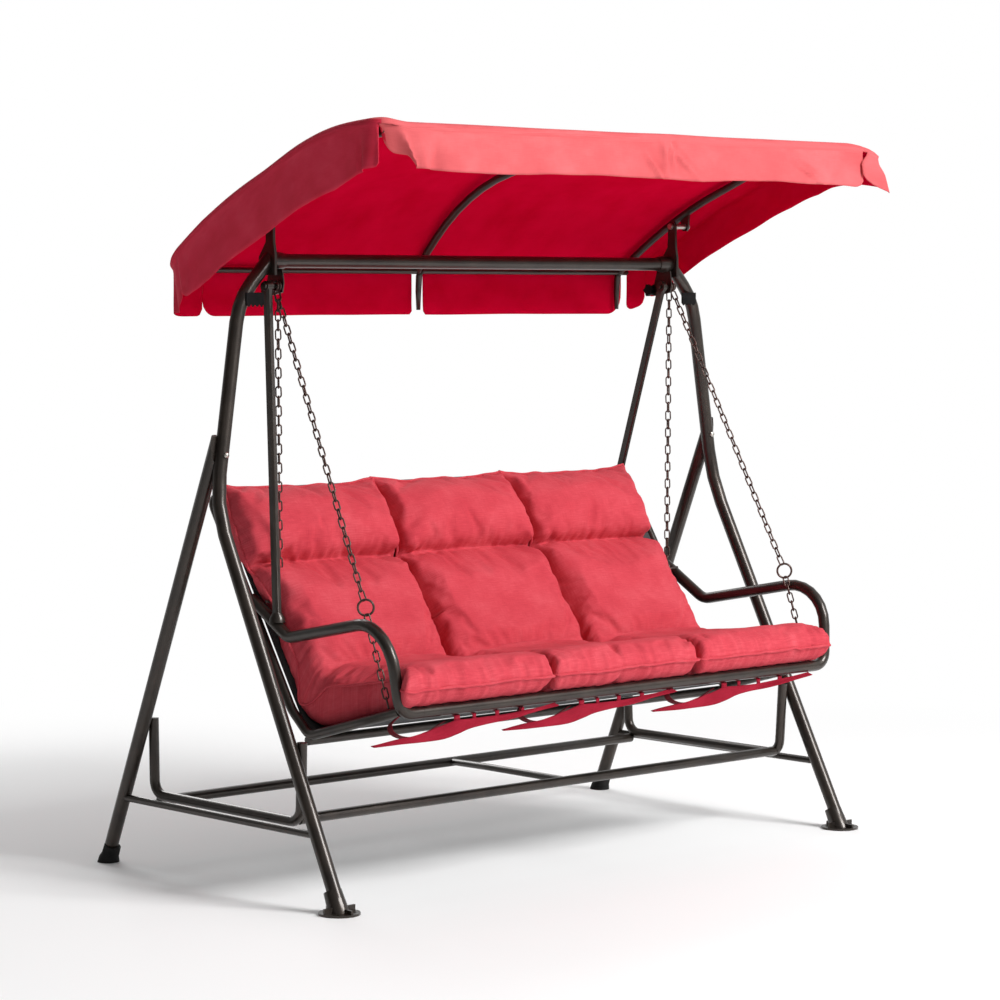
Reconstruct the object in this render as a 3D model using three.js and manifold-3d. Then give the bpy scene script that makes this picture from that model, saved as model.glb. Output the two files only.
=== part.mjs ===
// Three-seat garden swing: a fixed tube frame, a tilting fabric canopy and a seat hung on chains.
// Millimetres, +Z up, -Y is the front that people sit facing, +X is the sitter's left.
// Paired pieces are named L and R as seen by somebody who stands in front: L is the -X end.
// The model is laid out with Y = 0 on the top beam, then moved so that the origin is the middle
// of the footprint, on the ground.
import * as THREE from "three";
import { mergeVertices } from "three/addons/utils/BufferGeometryUtils.js";
import Module from "manifold-3d";

const wasm = await Module();
wasm.setup();

// ---------------------------------------------------------------- driving dimensions
const GAP = 0.4; // left between pieces that touch
const SIDES = [["L", -1], ["R", 1]];

const FRAME_R = 19; // 38 mm legs, posts and top beam
const BASE_R = 14; // 28 mm base rails
const LOWER_BAR_R = 10;
const SEAT_R = 13;
const ARM_R = 16;
const CANOPY_R = 11;
const REAR_BAR_R = 8;

const BEAM_Z = 1650;
const BEAM_HALF = 755;
const SLEEVE_LENGTH = 48;
const BRACKET_X = 756; // inner face of the upright end bracket
const BRACKET_THICK = 8;
const CANOPY_PIVOT = { y: -12, z: 1762 };
const CANOPY_BOLT_R = 5;

const FRONT_FOOT = [951, -519];
const REAR_FOOT = [947, 483];
const POST_BEND = [941, -6, 1008];
const POST_TOP_BEND = [858, 0, 1545];
const POST_TOP = [740, 0, 1672];
const REAR_LEG_TOP = [934, -8, 1186];

const BASE_Z = 203;
const BASE_Y = 315; // the U-braces' corners stand this far from the beam's plane
const FRONT_BASE = { y: -303, z: 210 };
const REAR_BASE = { y: 303, z: 186 };
const BASE_X = 910;
const STUB_TOP_Z = 412;
const LOWER_BAR_Z = 188;

const SWING = { y: -18, z: 1583 }; // axis of the seat's hanger pins
const PIN_R = 6;
const BACK_HANGER_X = 710; // eye of the bar that holds the back's top corner, at the R end
const ARM_HANGER_X = 775; // eye of the bar that stands on the armrest, at the L end
const HANGER_PLATE_X = 732;
const REAR_CHAIN_X = 740.5;
const FRONT_CHAIN_X = 749.5;
const CHAIN_R = 4;

const SEAT_X = 790; // side tubes of the seat
const FRONT_RAIL = { y: -585, z: 500 };
// Side view of the seat's side tube, front to top: y, z, bend radius.
const SEAT_LINE = [[-568, 504, 0], [-205, 405, 45], [-130, 468, 110], [222, 1020, 45]];
const SEAT_RAIL_END = 735; // where the corner bends meet the cross rails
const LOWER_RAIL = { y: -196, z: 392 };

const SLING_HALF = 774;
const SLING_INNER = 10; // offset of the sling's faces from the side tube's axis
const SLING_OUTER = 6;
const CUSHION_WIDTH = 503;
const CUSHION_PITCH = 505;
const CUSHION_LIFT = 11.5;

const CANOPY_HALF = 920;
const CLOTH = 5;
const CROWN = 78; // rise of the canopy's middle over its sides
const SIDE_RIB_X = 815;
// Side view of the canopy's side edge, front to rear: y, z.
const CANOPY_EDGE = [
  [-626, 1990], [-470, 1981], [-330, 1946], [-186, 1886],
  [-40, 1822], [111, 1742], [205, 1688], [284, 1640],
];
const FRONT_VALANCE = [-642, 1872];
const REAR_VALANCE = [300, 1514];
const SIDE_DROP = 122;

// ---------------------------------------------------------------- materials
const metal = new THREE.MeshStandardMaterial({ color: 0x3d342f, roughness: 0.38, metalness: 0.75 });
const zinc = new THREE.MeshStandardMaterial({ color: 0x8f8a82, roughness: 0.35, metalness: 0.9 });
const bronze = new THREE.MeshStandardMaterial({ color: 0x5a4238, roughness: 0.45, metalness: 0.8 });
const rubber = new THREE.MeshStandardMaterial({ color: 0x111111, roughness: 0.8, metalness: 0 });
const plastic = new THREE.MeshStandardMaterial({ color: 0x17191a, roughness: 0.5, metalness: 0 });
const canvas = new THREE.MeshStandardMaterial({ color: 0xc4202f, roughness: 0.9, metalness: 0 });
const linen = new THREE.MeshStandardMaterial({ color: 0xe2495a, roughness: 0.9, metalness: 0 });
const webbing = new THREE.MeshStandardMaterial({ color: 0x3b3b3c, roughness: 0.85, metalness: 0 });

// ---------------------------------------------------------------- geometry helpers
function solid(geometry) {
  const flat = geometry.index ? geometry.toNonIndexed() : geometry;
  const bare = new THREE.BufferGeometry().setAttribute("position", flat.getAttribute("position"));
  const merged = mergeVertices(bare, 1e-3);
  const mesh = new wasm.Mesh({
    numProp: 3,
    vertProperties: merged.attributes.position.array,
    triVerts: new Uint32Array(merged.index.array),
  });
  return new wasm.Manifold(mesh);
}

function geometryOf(body) {
  const mesh = body.getMesh();
  const geometry = new THREE.BufferGeometry();
  geometry.setAttribute("position", new THREE.BufferAttribute(mesh.vertProperties, 3));
  geometry.setIndex(new THREE.BufferAttribute(mesh.triVerts, 1));
  return geometry;
}

const join = (...pieces) => geometryOf(pieces.map(solid).reduce((a, b) => a.add(b)));
const cut = (piece, ...tools) =>
  geometryOf(tools.map(solid).reduce((a, b) => a.subtract(b), solid(piece)));

// A route of straight runs joined by round bends. A corner is [x, y, z, bend radius].
// Its stations stand only at the ends and round the bends.
class BentPath extends THREE.Curve {
  constructor(corners, degreesPerStep = 14) {
    super();
    this.stations = [];
    const at = corners.map(([x, y, z]) => new THREE.Vector3(x, y, z));
    const headings = at.slice(1).map((p, i) => p.clone().sub(at[i]).normalize());
    this.#add(at[0], headings[0]);
    for (let i = 1; i < at.length - 1; i++) {
      this.#bend(at[i], headings[i - 1], headings[i], corners[i][3], degreesPerStep);
    }
    this.#add(at.at(-1), headings.at(-1));
  }

  #add(point, heading) {
    this.stations.push({ point: point.clone(), heading: heading.clone() });
  }

  #bend(corner, before, after, radius, degreesPerStep) {
    const turn = before.angleTo(after);
    const reach = radius * Math.tan(turn / 2);
    const start = corner.clone().addScaledVector(before, -reach);
    const axis = before.clone().cross(after).normalize();
    const inward = axis.clone().cross(before);
    const centre = start.clone().addScaledVector(inward, radius);
    const count = Math.max(1, Math.ceil(THREE.MathUtils.radToDeg(turn) / degreesPerStep));
    for (let i = 0; i <= count; i++) {
      const angle = (turn * i) / count;
      const spoke = inward.clone().multiplyScalar(-radius).applyAxisAngle(axis, angle);
      this.#add(spoke.add(centre), before.clone().applyAxisAngle(axis, angle));
    }
  }

  #between(t, key) {
    const last = this.stations.length - 1;
    const i = Math.min(last - 1, Math.floor(t * last + 1e-9));
    return this.stations[i][key].clone().lerp(this.stations[i + 1][key], t * last - i);
  }

  getPoint(t) {
    return this.#between(t, "point");
  }

  getPointAt(t) {
    return this.#between(t, "point");
  }

  getTangentAt(t) {
    return this.#between(t, "heading").normalize();
  }
}

function disc(radius, count) {
  const points = [];
  for (let i = 0; i < count; i++) {
    const angle = (2 * Math.PI * i) / count;
    points.push(new THREE.Vector2(radius * Math.cos(angle), radius * Math.sin(angle)));
  }
  return points;
}

const sidesFor = (radius) => (radius > 17 ? 16 : radius > 9 ? 12 : 10);

function tube(corners, radius, count = sidesFor(radius)) {
  const path = new BentPath(corners);
  const section = new THREE.Shape(disc(radius, count));
  return new THREE.ExtrudeGeometry(section, { extrudePath: path, steps: path.stations.length - 1 });
}

// A bar of rectangular section with softened corners, along a route.
function bar(corners, width, depth) {
  const soft = Math.min(width, depth) / 4;
  const w = width / 2;
  const d = depth / 2;
  const section = new THREE.Shape([
    new THREE.Vector2(w, d - soft), new THREE.Vector2(w - soft, d),
    new THREE.Vector2(soft - w, d), new THREE.Vector2(-w, d - soft),
    new THREE.Vector2(-w, soft - d), new THREE.Vector2(soft - w, -d),
    new THREE.Vector2(w - soft, -d), new THREE.Vector2(w, soft - d),
  ]);
  const path = new BentPath(corners);
  return new THREE.ExtrudeGeometry(section, { extrudePath: path, steps: path.stations.length - 1 });
}

// A flat plate in a side view: outline and holes in (y, z), from x0 to x0 + thickness.
function sidePlate(outline, x0, thickness, holes = [], steps = 1) {
  const shape = new THREE.Shape(outline.map(([y, z]) => new THREE.Vector2(y, z)));
  for (const [y, z, r] of holes) {
    shape.holes.push(new THREE.Path(disc(r, 12).map((p) => p.add(new THREE.Vector2(y, z)))));
  }
  const plate = new THREE.ExtrudeGeometry(shape, { depth: thickness, bevelEnabled: false, steps });
  const turn = new THREE.Matrix4().makeBasis(
    new THREE.Vector3(0, 1, 0), new THREE.Vector3(0, 0, 1), new THREE.Vector3(1, 0, 0),
  );
  return plate.applyMatrix4(turn).translate(x0, 0, 0);
}

// A flat plate in a front view: outline in (x, z), from y0 forwards.
function frontPlate(outline, y0, thickness) {
  const shape = new THREE.Shape(outline.map(([x, z]) => new THREE.Vector2(x, z)));
  const plate = new THREE.ExtrudeGeometry(shape, { depth: thickness, bevelEnabled: false });
  const turn = new THREE.Matrix4().makeBasis(
    new THREE.Vector3(1, 0, 0), new THREE.Vector3(0, 0, 1), new THREE.Vector3(0, -1, 0),
  );
  return plate.applyMatrix4(turn).translate(0, y0, 0);
}

// A plate lying flat: outline and holes in (x, y), from z0 upwards.
function floorPlate(outline, z0, thickness, holes = []) {
  const shape = new THREE.Shape(outline.map(([x, y]) => new THREE.Vector2(x, y)));
  for (const [x, y, r] of holes) {
    shape.holes.push(new THREE.Path(disc(r, 10).map((p) => p.add(new THREE.Vector2(x, y)))));
  }
  const plate = new THREE.ExtrudeGeometry(shape, { depth: thickness, bevelEnabled: false });
  return plate.translate(0, 0, z0);
}

// A turned piece: its profile (radius, height) stands on `base` and rises along `axis`.
function turned(profile, base, axis, count = 16) {
  const points = profile.map(([r, h]) => new THREE.Vector2(r, h));
  const rise = new THREE.Quaternion().setFromUnitVectors(
    new THREE.Vector3(0, 1, 0), new THREE.Vector3(...axis).normalize(),
  );
  return new THREE.LatheGeometry(points, count).applyQuaternion(rise).translate(...base);
}

function ring(centre, radius, wire) {
  const loop = new THREE.TorusGeometry(radius, wire, 6, 12);
  return loop.rotateY(Math.PI / 2).translate(...centre);
}

function box(x0, x1, y0, y1, z0, z1) {
  const block = new THREE.BoxGeometry(x1 - x0, y1 - y0, z1 - z0);
  return block.translate((x0 + x1) / 2, (y0 + y1) / 2, (z0 + z1) / 2);
}

// A side view line moved sideways by `distance`, to the left of its heading.
function offsetLine(line, distance) {
  return line.map(([y, z], i) => {
    const before = line[Math.max(0, i - 1)];
    const after = line[Math.min(line.length - 1, i + 1)];
    const unit = (a, b) => {
      const length = Math.hypot(b[0] - a[0], b[1] - a[1]) || 1;
      return [(b[0] - a[0]) / length, (b[1] - a[1]) / length];
    };
    const u = i ? unit(before, [y, z]) : unit([y, z], after);
    const v = i < line.length - 1 ? unit([y, z], after) : u;
    const mitre = distance / (1 + u[0] * v[0] + u[1] * v[1]);
    return [y - (u[1] + v[1]) * mitre, z + (u[0] + v[0]) * mitre];
  });
}

// ---------------------------------------------------------------- scene graph
const assembly = new THREE.Group();
const swing = new THREE.Group();
swing.add(assembly);

function place(name, geometry, material) {
  const mesh = new THREE.Mesh(geometry, material);
  mesh.name = name;
  assembly.add(mesh);
}

// Makes a piece for each end of the swing. `make` gets +1 or -1 and builds it at that end.
function atBothEnds(name, material, make) {
  for (const [letter, side] of SIDES) {
    place(`${name}_${letter}`, make(side), material);
  }
}

const mirrored = (side, corners) => corners.map(([x, ...rest]) => [side * x, ...rest]);

// ---------------------------------------------------------------- fixed frame
const LEG_START = 14; // the legs stand inside their feet, this far above the ground
const frontLegRoute = (side) =>
  mirrored(side, [
    [...FRONT_FOOT, LEG_START],
    [...POST_BEND, 340],
    [...POST_TOP_BEND, 190],
    POST_TOP,
  ]);
const rearLegRoute = (side) => mirrored(side, [[...REAR_FOOT, LEG_START], REAR_LEG_TOP]);

function bracketOutline(grow) {
  const top = CANOPY_PIVOT.z;
  return [
    [-34 - grow, 1612 - grow], [34 + grow, 1612 - grow], [34 + grow, 1660],
    [4 + grow, 1700], [2 + grow, top + 6 + grow], [-6, top + 15 + grow], [-18, top + 15 + grow],
    [-26 - grow, top + 6 + grow], [-28 - grow, 1700], [-34 - grow, 1668],
  ];
}

// Everything on the beam's side of the end bracket's outer face.
const insideOfBracket = (side, margin) => {
  const face = BRACKET_X + BRACKET_THICK + margin;
  return box(Math.min(0, side * face), Math.max(0, side * face), -80, 80, 1580, 1800);
};

function frontLeg(side) {
  return cut(tube(frontLegRoute(side), FRAME_R), insideOfBracket(side, GAP));
}

function rearLeg(side) {
  const postWithGap = tube(frontLegRoute(side), FRAME_R + GAP);
  const frontHalf = box(side * 900 - 100, side * 900 + 100, -200, 0, 1000, 1300);
  return cut(tube(rearLegRoute(side), FRAME_R), postWithGap, frontHalf);
}

function endBracket(side) {
  const x0 = side > 0 ? BRACKET_X : -BRACKET_X - BRACKET_THICK;
  const hole = [CANOPY_PIVOT.y, CANOPY_PIVOT.z, CANOPY_BOLT_R + GAP];
  return sidePlate(bracketOutline(0), x0, BRACKET_THICK, [hole]);
}

function beamSleeve(side) {
  const profile = [
    [FRAME_R + GAP, 0], [FRAME_R + 4, 0], [FRAME_R + 5, 10], [FRAME_R + 5, SLEEVE_LENGTH - 14],
    [FRAME_R + 2, SLEEVE_LENGTH - 4], [FRAME_R + 2, SLEEVE_LENGTH], [FRAME_R + GAP, SLEEVE_LENGTH],
    [FRAME_R + GAP, 0],
  ];
  return turned(profile, [side * (BRACKET_X - GAP), 0, BEAM_Z], [-side, 0, 0], 20);
}

// Toothed plate on the front of the post, reaching inwards under the beam's end.
function tiltRack(side) {
  const teeth = [];
  for (let x = 792; x < 844; x += 14) {
    teeth.push([x, 1536], [x + 7, 1528]);
  }
  const outline = mirrored(side, [...teeth, [850, 1536], [850, 1566], [792, 1566]]);
  const ordered = side > 0 ? outline : outline.reverse();
  return cut(frontPlate(ordered, -19, 4.5), tube(frontLegRoute(side), FRAME_R + GAP));
}

const uBraceRoute = (side) =>
  mirrored(side, [
    [BASE_X + 3, -BASE_Y - 10, STUB_TOP_Z],
    [BASE_X, -BASE_Y, BASE_Z, 42],
    [BASE_X, BASE_Y, BASE_Z, 42],
    [BASE_X - 3, BASE_Y + 8, STUB_TOP_Z],
  ]);
const uBrace = (side) => tube(uBraceRoute(side), BASE_R);

function lowerBar(side) {
  const route = mirrored(side, [[949, -430, LOWER_BAR_Z], [947, 410, LOWER_BAR_Z]]);
  return cut(
    tube(route, LOWER_BAR_R),
    tube(frontLegRoute(side), FRAME_R + GAP),
    tube(rearLegRoute(side), FRAME_R + GAP),
    box(side * 900 - 100, side * 900 + 100, -500, -410, 0, 400),
    box(side * 900 - 100, side * 900 + 100, 395, 500, 0, 400),
  );
}

function baseRail({ y, z }) {
  const braces = SIDES.map(([, side]) => tube(uBraceRoute(side), BASE_R + GAP));
  return cut(tube([[-BASE_X + 5, y, z], [BASE_X - 5, y, z]], BASE_R), ...braces);
}

// A slightly bent tube between the two base rails, its ends cut to fit them.
function centreBrace() {
  const rails = [FRONT_BASE, REAR_BASE].map(({ y, z }) =>
    tube([[-100, y, z], [300, y, z]], BASE_R + GAP));
  const route = [[160, REAR_BASE.y, REAR_BASE.z], [104, 90, 200, 150],
    [54, FRONT_BASE.y, FRONT_BASE.z]];
  return cut(tube(route, LOWER_BAR_R), ...rails,
    box(-100, 300, REAR_BASE.y, REAR_BASE.y + 60, 0, 400),
    box(-100, 300, FRONT_BASE.y - 60, FRONT_BASE.y, 0, 400));
}

const legHeading = (foot, top) => new THREE.Vector3(
  top[0] - foot[0], top[1] - foot[1], top[2],
).normalize();

function frontFoot(side) {
  const heading = legHeading(FRONT_FOOT, POST_BEND);
  heading.x *= side;
  const [x, y] = [side * FRONT_FOOT[0], FRONT_FOOT[1]];
  const pad = disc(54, 16).map((p) => [x + p.x, y + p.y]);
  const holes = [45, 135, 225, 315].map((degrees) => {
    const angle = THREE.MathUtils.degToRad(degrees);
    return [x + 40 * Math.cos(angle), y + 40 * Math.sin(angle), 4.5];
  });
  const collar = turned([[0, -10], [FRAME_R + 9, -10], [FRAME_R + 5, 62], [0, 62]],
    [x, y, 0], heading.toArray());
  const ribs = [[1, 0], [0, 1]].map(([along, across]) => {
    const half = (reach, thick) => (along ? reach : thick);
    const wide = half(50, 3);
    const deep = along ? 3 : 50;
    return box(x - wide, x + wide, y - deep, y + deep, 2, 20 - 4 * across);
  });
  const body = join(floorPlate(pad, 0, 6, holes), collar, ...ribs);
  return cut(body, tube(mirrored(side, [[...FRONT_FOOT, LEG_START - GAP], POST_BEND]), FRAME_R + GAP),
    box(x - 90, x + 90, y - 90, y + 90, -40, 0));
}

function rearFootCap(side) {
  const heading = legHeading(REAR_FOOT, REAR_LEG_TOP);
  heading.x *= side;
  const [x, y] = [side * REAR_FOOT[0], REAR_FOOT[1]];
  const profile = [[0, -12], [30, -12], [29, 10], [FRAME_R + 5, 24], [FRAME_R + 4, 52], [0, 52]];
  return cut(turned(profile, [x, y, 0], heading.toArray(), 20),
    tube(mirrored(side, [[...REAR_FOOT, LEG_START - GAP], REAR_LEG_TOP]), FRAME_R + GAP),
    box(x - 90, x + 90, y - 90, y + 90, -60, 0));
}

// Bolt through the post and the coped end of the rear leg: a domed head on the front.
function legBolt(side) {
  const profile = [[0, 0], [8, 0], [8, 3], [5, 6], [0, 7]];
  return turned(profile, [side * 920.5, -FRAME_R - 5, 1140], [0, -1, 0], 12);
}

// Plate under the beam with the headed pin that carries hanger bar and chains, and an ear for
// the knob.
function hangerBracket(side) {
  const outline = [
    [-30, 1629], [-36, 1590], [-30, 1566], [-8, 1562], [30, 1556], [58, 1560],
    [62, 1580], [36, 1592], [24, 1629],
  ];
  const x0 = side > 0 ? HANGER_PLATE_X : -HANGER_PLATE_X - 4;
  const [inner, outer] = side > 0 ? [BACK_HANGER_X - 14, BRACKET_X + 4] : [724, ARM_HANGER_X + 16];
  const profile = [[0, 0], [PIN_R, 0], [PIN_R, outer - inner - 5], [11, outer - inner - 5],
    [11, outer - inner], [0, outer - inner]];
  const pin = turned(profile, [side * inner, SWING.y, SWING.z], [side, 0, 0], 12);
  const beamWithGap = turned([[0, 0], [FRAME_R + 5.5, 0], [FRAME_R + 5.5, 100], [0, 100]],
    [side * 660, 0, BEAM_Z], [side, 0, 0], 20);
  return cut(join(sidePlate(outline, x0, 4), pin), beamWithGap);
}

// Canopy clamp knob: a lobed grip with its boss against the bracket's ear.
function clampKnob(side) {
  const count = 40;
  const outline = [];
  for (let i = 0; i < count; i++) {
    const angle = (2 * Math.PI * i) / count;
    const r = 16 + 2.5 * Math.cos(5 * angle);
    outline.push([45 + r * Math.cos(angle), 1573 + r * Math.sin(angle)]);
  }
  const face = HANGER_PLATE_X - GAP;
  const grip = sidePlate(outline, side > 0 ? face - 18 : -face + 6, 12);
  const boss = turned([[0, 0], [9, 0], [8, 8], [0, 8]], [side * face, 45, 1573], [-side, 0, 0], 12);
  return join(grip, boss);
}

atBothEnds("front_leg_post", metal, frontLeg);
atBothEnds("rear_leg", metal, rearLeg);
place("top_beam", tube([[-BEAM_HALF, 0, BEAM_Z], [BEAM_HALF, 0, BEAM_Z]], FRAME_R), metal);
atBothEnds("beam_sleeve", metal, beamSleeve);
atBothEnds("end_bracket", metal, endBracket);
atBothEnds("tilt_rack", plastic, tiltRack);
atBothEnds("u_brace", metal, uBrace);
atBothEnds("lower_bar", metal, lowerBar);
place("front_base_rail", baseRail(FRONT_BASE), metal);
place("rear_base_rail", baseRail(REAR_BASE), metal);
place("centre_brace", centreBrace(), metal);
atBothEnds("front_foot", metal, frontFoot);
atBothEnds("rear_foot_cap", rubber, rearFootCap);
atBothEnds("leg_bolt", zinc, legBolt);
atBothEnds("hanger_bracket", metal, hangerBracket);
atBothEnds("clamp_knob", plastic, clampKnob);

// ---------------------------------------------------------------- canopy
const edgeCurve = new THREE.SplineCurve(CANOPY_EDGE.map(([y, z]) => new THREE.Vector2(y, z)));

// How much of the crown a point at depth y gets: none at the front and rear edges.
function crownAt(x, y) {
  const [front, rear] = [CANOPY_EDGE[0][0], CANOPY_EDGE.at(-1)[0]];
  const s = THREE.MathUtils.clamp((y - front) / (rear - front), 0, 1);
  return CROWN * (1 - (x / CANOPY_HALF) ** 2) * Math.sin(Math.PI * s ** 2.1);
}

// Side view of the cloth's outer face at the canopy's side, with both valances.
function coverLine() {
  const top = edgeCurve.getPoints(14).map((p) => [p.x, p.y]);
  return [FRONT_VALANCE, ...top, REAR_VALANCE];
}

// The cloth: one bent band across the width, lifted to its crown, and the two side valances.
function canopyCover() {
  const line = coverLine();
  const band = [...line, ...offsetLine(line, -CLOTH).reverse()];
  const sheet = sidePlate(band.reverse(), -CANOPY_HALF, 2 * CANOPY_HALF, [], 10);
  const position = sheet.getAttribute("position");
  for (let i = 0; i < position.count; i++) {
    const lift = crownAt(position.getX(i), position.getY(i));
    position.setZ(i, position.getZ(i) + lift);
  }
  const upper = line.slice(1, -1);
  const lower = upper.slice(1, -1).map(([y, z], i) => {
    const round = Math.max(0, i - 10) * 12; // the valance's rear end is rounded off
    return [y, z - SIDE_DROP + round];
  });
  const outline = [...upper.map(([y, z]) => [y, z - 2]), ...lower.reverse()].reverse();
  const valances = SIDES.map(([, side]) =>
    sidePlate(outline, side > 0 ? CANOPY_HALF - CLOTH : -CANOPY_HALF, CLOTH));
  return join(sheet, ...valances);
}

const FRONT_BAR = { y: -608, z: 1969 };
const REAR_BAR = { y: 270, z: 1627 };
const frontBarTube = (grow) => tube(
  [[-882, FRONT_BAR.y, FRONT_BAR.z], [882, FRONT_BAR.y, FRONT_BAR.z]], CANOPY_R + grow, 12);
const rearBarTube = (grow) => tube(
  [[-850, REAR_BAR.y, REAR_BAR.z], [850, REAR_BAR.y, REAR_BAR.z]], REAR_BAR_R + grow, 12);

// A rib follows the cloth's inner face at its own place across the canopy.
function rib(x) {
  const drop = CANOPY_R + CLOTH + 5;
  const under = offsetLine(edgeCurve.getPoints(16).map((p) => [p.x, p.y]), -drop);
  const points = under.slice(1, -1).map(([y, z]) =>
    new THREE.Vector3(x, y, z + crownAt(x, y) * 0.985));
  points.unshift(new THREE.Vector3(x, FRONT_BAR.y, FRONT_BAR.z));
  points.push(new THREE.Vector3(x, REAR_BAR.y, REAR_BAR.z));
  const route = new THREE.CatmullRomCurve3(points);
  const section = new THREE.Shape(disc(CANOPY_R, 12));
  const body = new THREE.ExtrudeGeometry(section, { extrudePath: route, steps: 16 });
  return { body, tools: [frontBarTube(GAP), rearBarTube(GAP),
    box(x - 40, x + 40, FRONT_BAR.y - 60, FRONT_BAR.y, 1900, 2040),
    box(x - 40, x + 40, REAR_BAR.y, REAR_BAR.y + 60, 1500, 1700)] };
}

// A side rib also has the flat tab that its pivot bolt goes through.
function sideRib(side) {
  const { body, tools } = rib(side * SIDE_RIB_X);
  const { y, z } = CANOPY_PIVOT;
  const outline = [[y - 14, z - 4], [y - 8, z - 13], [y + 8, z - 13], [y + 14, z - 4],
    [y + 18, z + 30], [y - 18, z + 46]];
  const tab = sidePlate(outline, side * SIDE_RIB_X - 3, 6);
  const bolt = tube([[side * 700, y, z], [side * 900, y, z]], CANOPY_BOLT_R + GAP, 12);
  return cut(join(body, tab), ...tools, bolt);
}

function middleRib() {
  const { body, tools } = rib(0);
  return cut(body, ...tools);
}

// Shank through bracket and tab, with a spacer between them and a head at each end.
function pivotBolt(side) {
  const start = BRACKET_X - 8;
  const end = SIDE_RIB_X + 3 + 8;
  const spacerEnd = SIDE_RIB_X - 3 - GAP - start;
  const profile = [
    [0, 0], [9, 0], [9, 8 - GAP], [CANOPY_BOLT_R, 8 - GAP],
    [CANOPY_BOLT_R, 8 + BRACKET_THICK + GAP], [8, 8 + BRACKET_THICK + GAP], [8, spacerEnd],
    [CANOPY_BOLT_R, spacerEnd], [CANOPY_BOLT_R, end - start - 8 + GAP],
    [9, end - start - 8 + GAP], [9, end - start], [0, end - start],
  ];
  return turned(profile, [side * start, CANOPY_PIVOT.y, CANOPY_PIVOT.z], [side, 0, 0], 12);
}

place("canopy_cover", canopyCover(), canvas);
place("canopy_front_bar", frontBarTube(0), metal);
place("canopy_rear_bar", rearBarTube(0), metal);
atBothEnds("canopy_rib", metal, sideRib);
place("canopy_rib_middle", middleRib(), metal);
atBothEnds("canopy_bolt", zinc, pivotBolt);

// ---------------------------------------------------------------- seat frame
const seatSideRoute = (side) => {
  const corners = SEAT_LINE.map(([y, z, r]) => [SEAT_X, y, z, r]);
  return mirrored(side, [...corners, [SEAT_RAIL_END, 222, 1020]]);
};
const armRoute = (side) =>
  mirrored(side, [
    [789, 40, 752],
    [790, -118, 657, 55],
    [826, -562, 742, 120],
    [803, FRONT_RAIL.y, FRONT_RAIL.z, 42],
    [SEAT_RAIL_END, FRONT_RAIL.y, FRONT_RAIL.z],
  ]);

function seatSide(side) {
  return cut(tube(seatSideRoute(side), SEAT_R), tube(armRoute(side).slice(2), ARM_R + GAP));
}

function armrest(side) {
  const y = SEAT_LINE[3][0];
  const behind = box(side * SEAT_X - 60, side * SEAT_X + 60, 30, y, 600, 900);
  return cut(tube(armRoute(side), ARM_R), tube(seatSideRoute(side), SEAT_R + GAP), behind);
}

const crossRail = (y, z, radius, half) => tube([[-half, y, z], [half, y, z]], radius);

// The lower rear rail hangs under the side tubes' corners and is cut to fit them.
function lowerRail() {
  const rail = crossRail(LOWER_RAIL.y, LOWER_RAIL.z, SEAT_R, SEAT_X);
  return cut(rail, ...SIDES.map(([, side]) => tube(seatSideRoute(side), SEAT_R + GAP)));
}

// A hanger bar: an eye on the pin and a bar down to the seat. At the L end it stands on the
// armrest with a flared foot, at the R end it is welded to the back's top corner.
function hangerEye(x, radius, width) {
  const start = Math.abs(x) - width / 2;
  return turned([[0, 0], [radius, 0], [radius, width], [0, width]],
    [Math.sign(x) * start, SWING.y, SWING.z], [Math.sign(x), 0, 0]);
}

const pinHole = (side) => tube(
  [[side * 690, SWING.y, SWING.z], [side * 800, SWING.y, SWING.z]], PIN_R + GAP, 12);

function armHanger() {
  const side = -1;
  const top = [side * ARM_HANGER_X, SWING.y, SWING.z];
  const foot = [side * 790, -71, 686];
  const rise = top.map((v, i) => v - foot[i]);
  const flare = turned([[0, 8], [22, 8], [21, 20], [13, 34], [0, 34]], foot, rise);
  const body = join(bar([top, foot], 20, 24), hangerEye(top[0], 14, 20), flare);
  const underArm = box(side * 790 - 60, side * 790 + 60, -140, 0, 600, 672);
  return cut(body, pinHole(side), tube(armRoute(side), ARM_R + GAP), underArm);
}

function backHanger() {
  const side = 1;
  const top = [side * BACK_HANGER_X, SWING.y, SWING.z];
  const body = join(bar([top, [side * 772, 218, 1030]], 14, 26), hangerEye(top[0], 16, 14));
  return cut(body, pinHole(side), tube(seatSideRoute(side), SEAT_R + GAP));
}

function chain(side, x, corners) {
  const loop = ring([side * x, SWING.y, SWING.z], PIN_R + CHAIN_R + 2, CHAIN_R);
  const runs = [];
  for (let i = 0; i < corners.length - 1; i += 2) {
    runs.push(tube(mirrored(side, [corners[i], corners[i + 1]]), CHAIN_R, 8));
  }
  return [loop, ...runs];
}

const RING = { x: 793, y: -438, z: 761, r: 19, wire: 3.5 };

function frontChain(side) {
  const pieces = chain(side, FRONT_CHAIN_X, [
    [FRONT_CHAIN_X, SWING.y - 5, SWING.z - 11],
    [RING.x, RING.y + 9, RING.z + RING.r - 2],
    [RING.x, RING.y - 3, RING.z - RING.r],
    [SEAT_X + 1, -524, 507],
  ]);
  return join(...pieces, ring([side * RING.x, RING.y, RING.z], RING.r, RING.wire));
}

function rearChain(side) {
  return join(...chain(side, REAR_CHAIN_X, [
    [REAR_CHAIN_X, SWING.y, SWING.z - 12],
    [787, -14, 744],
  ]));
}

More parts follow.
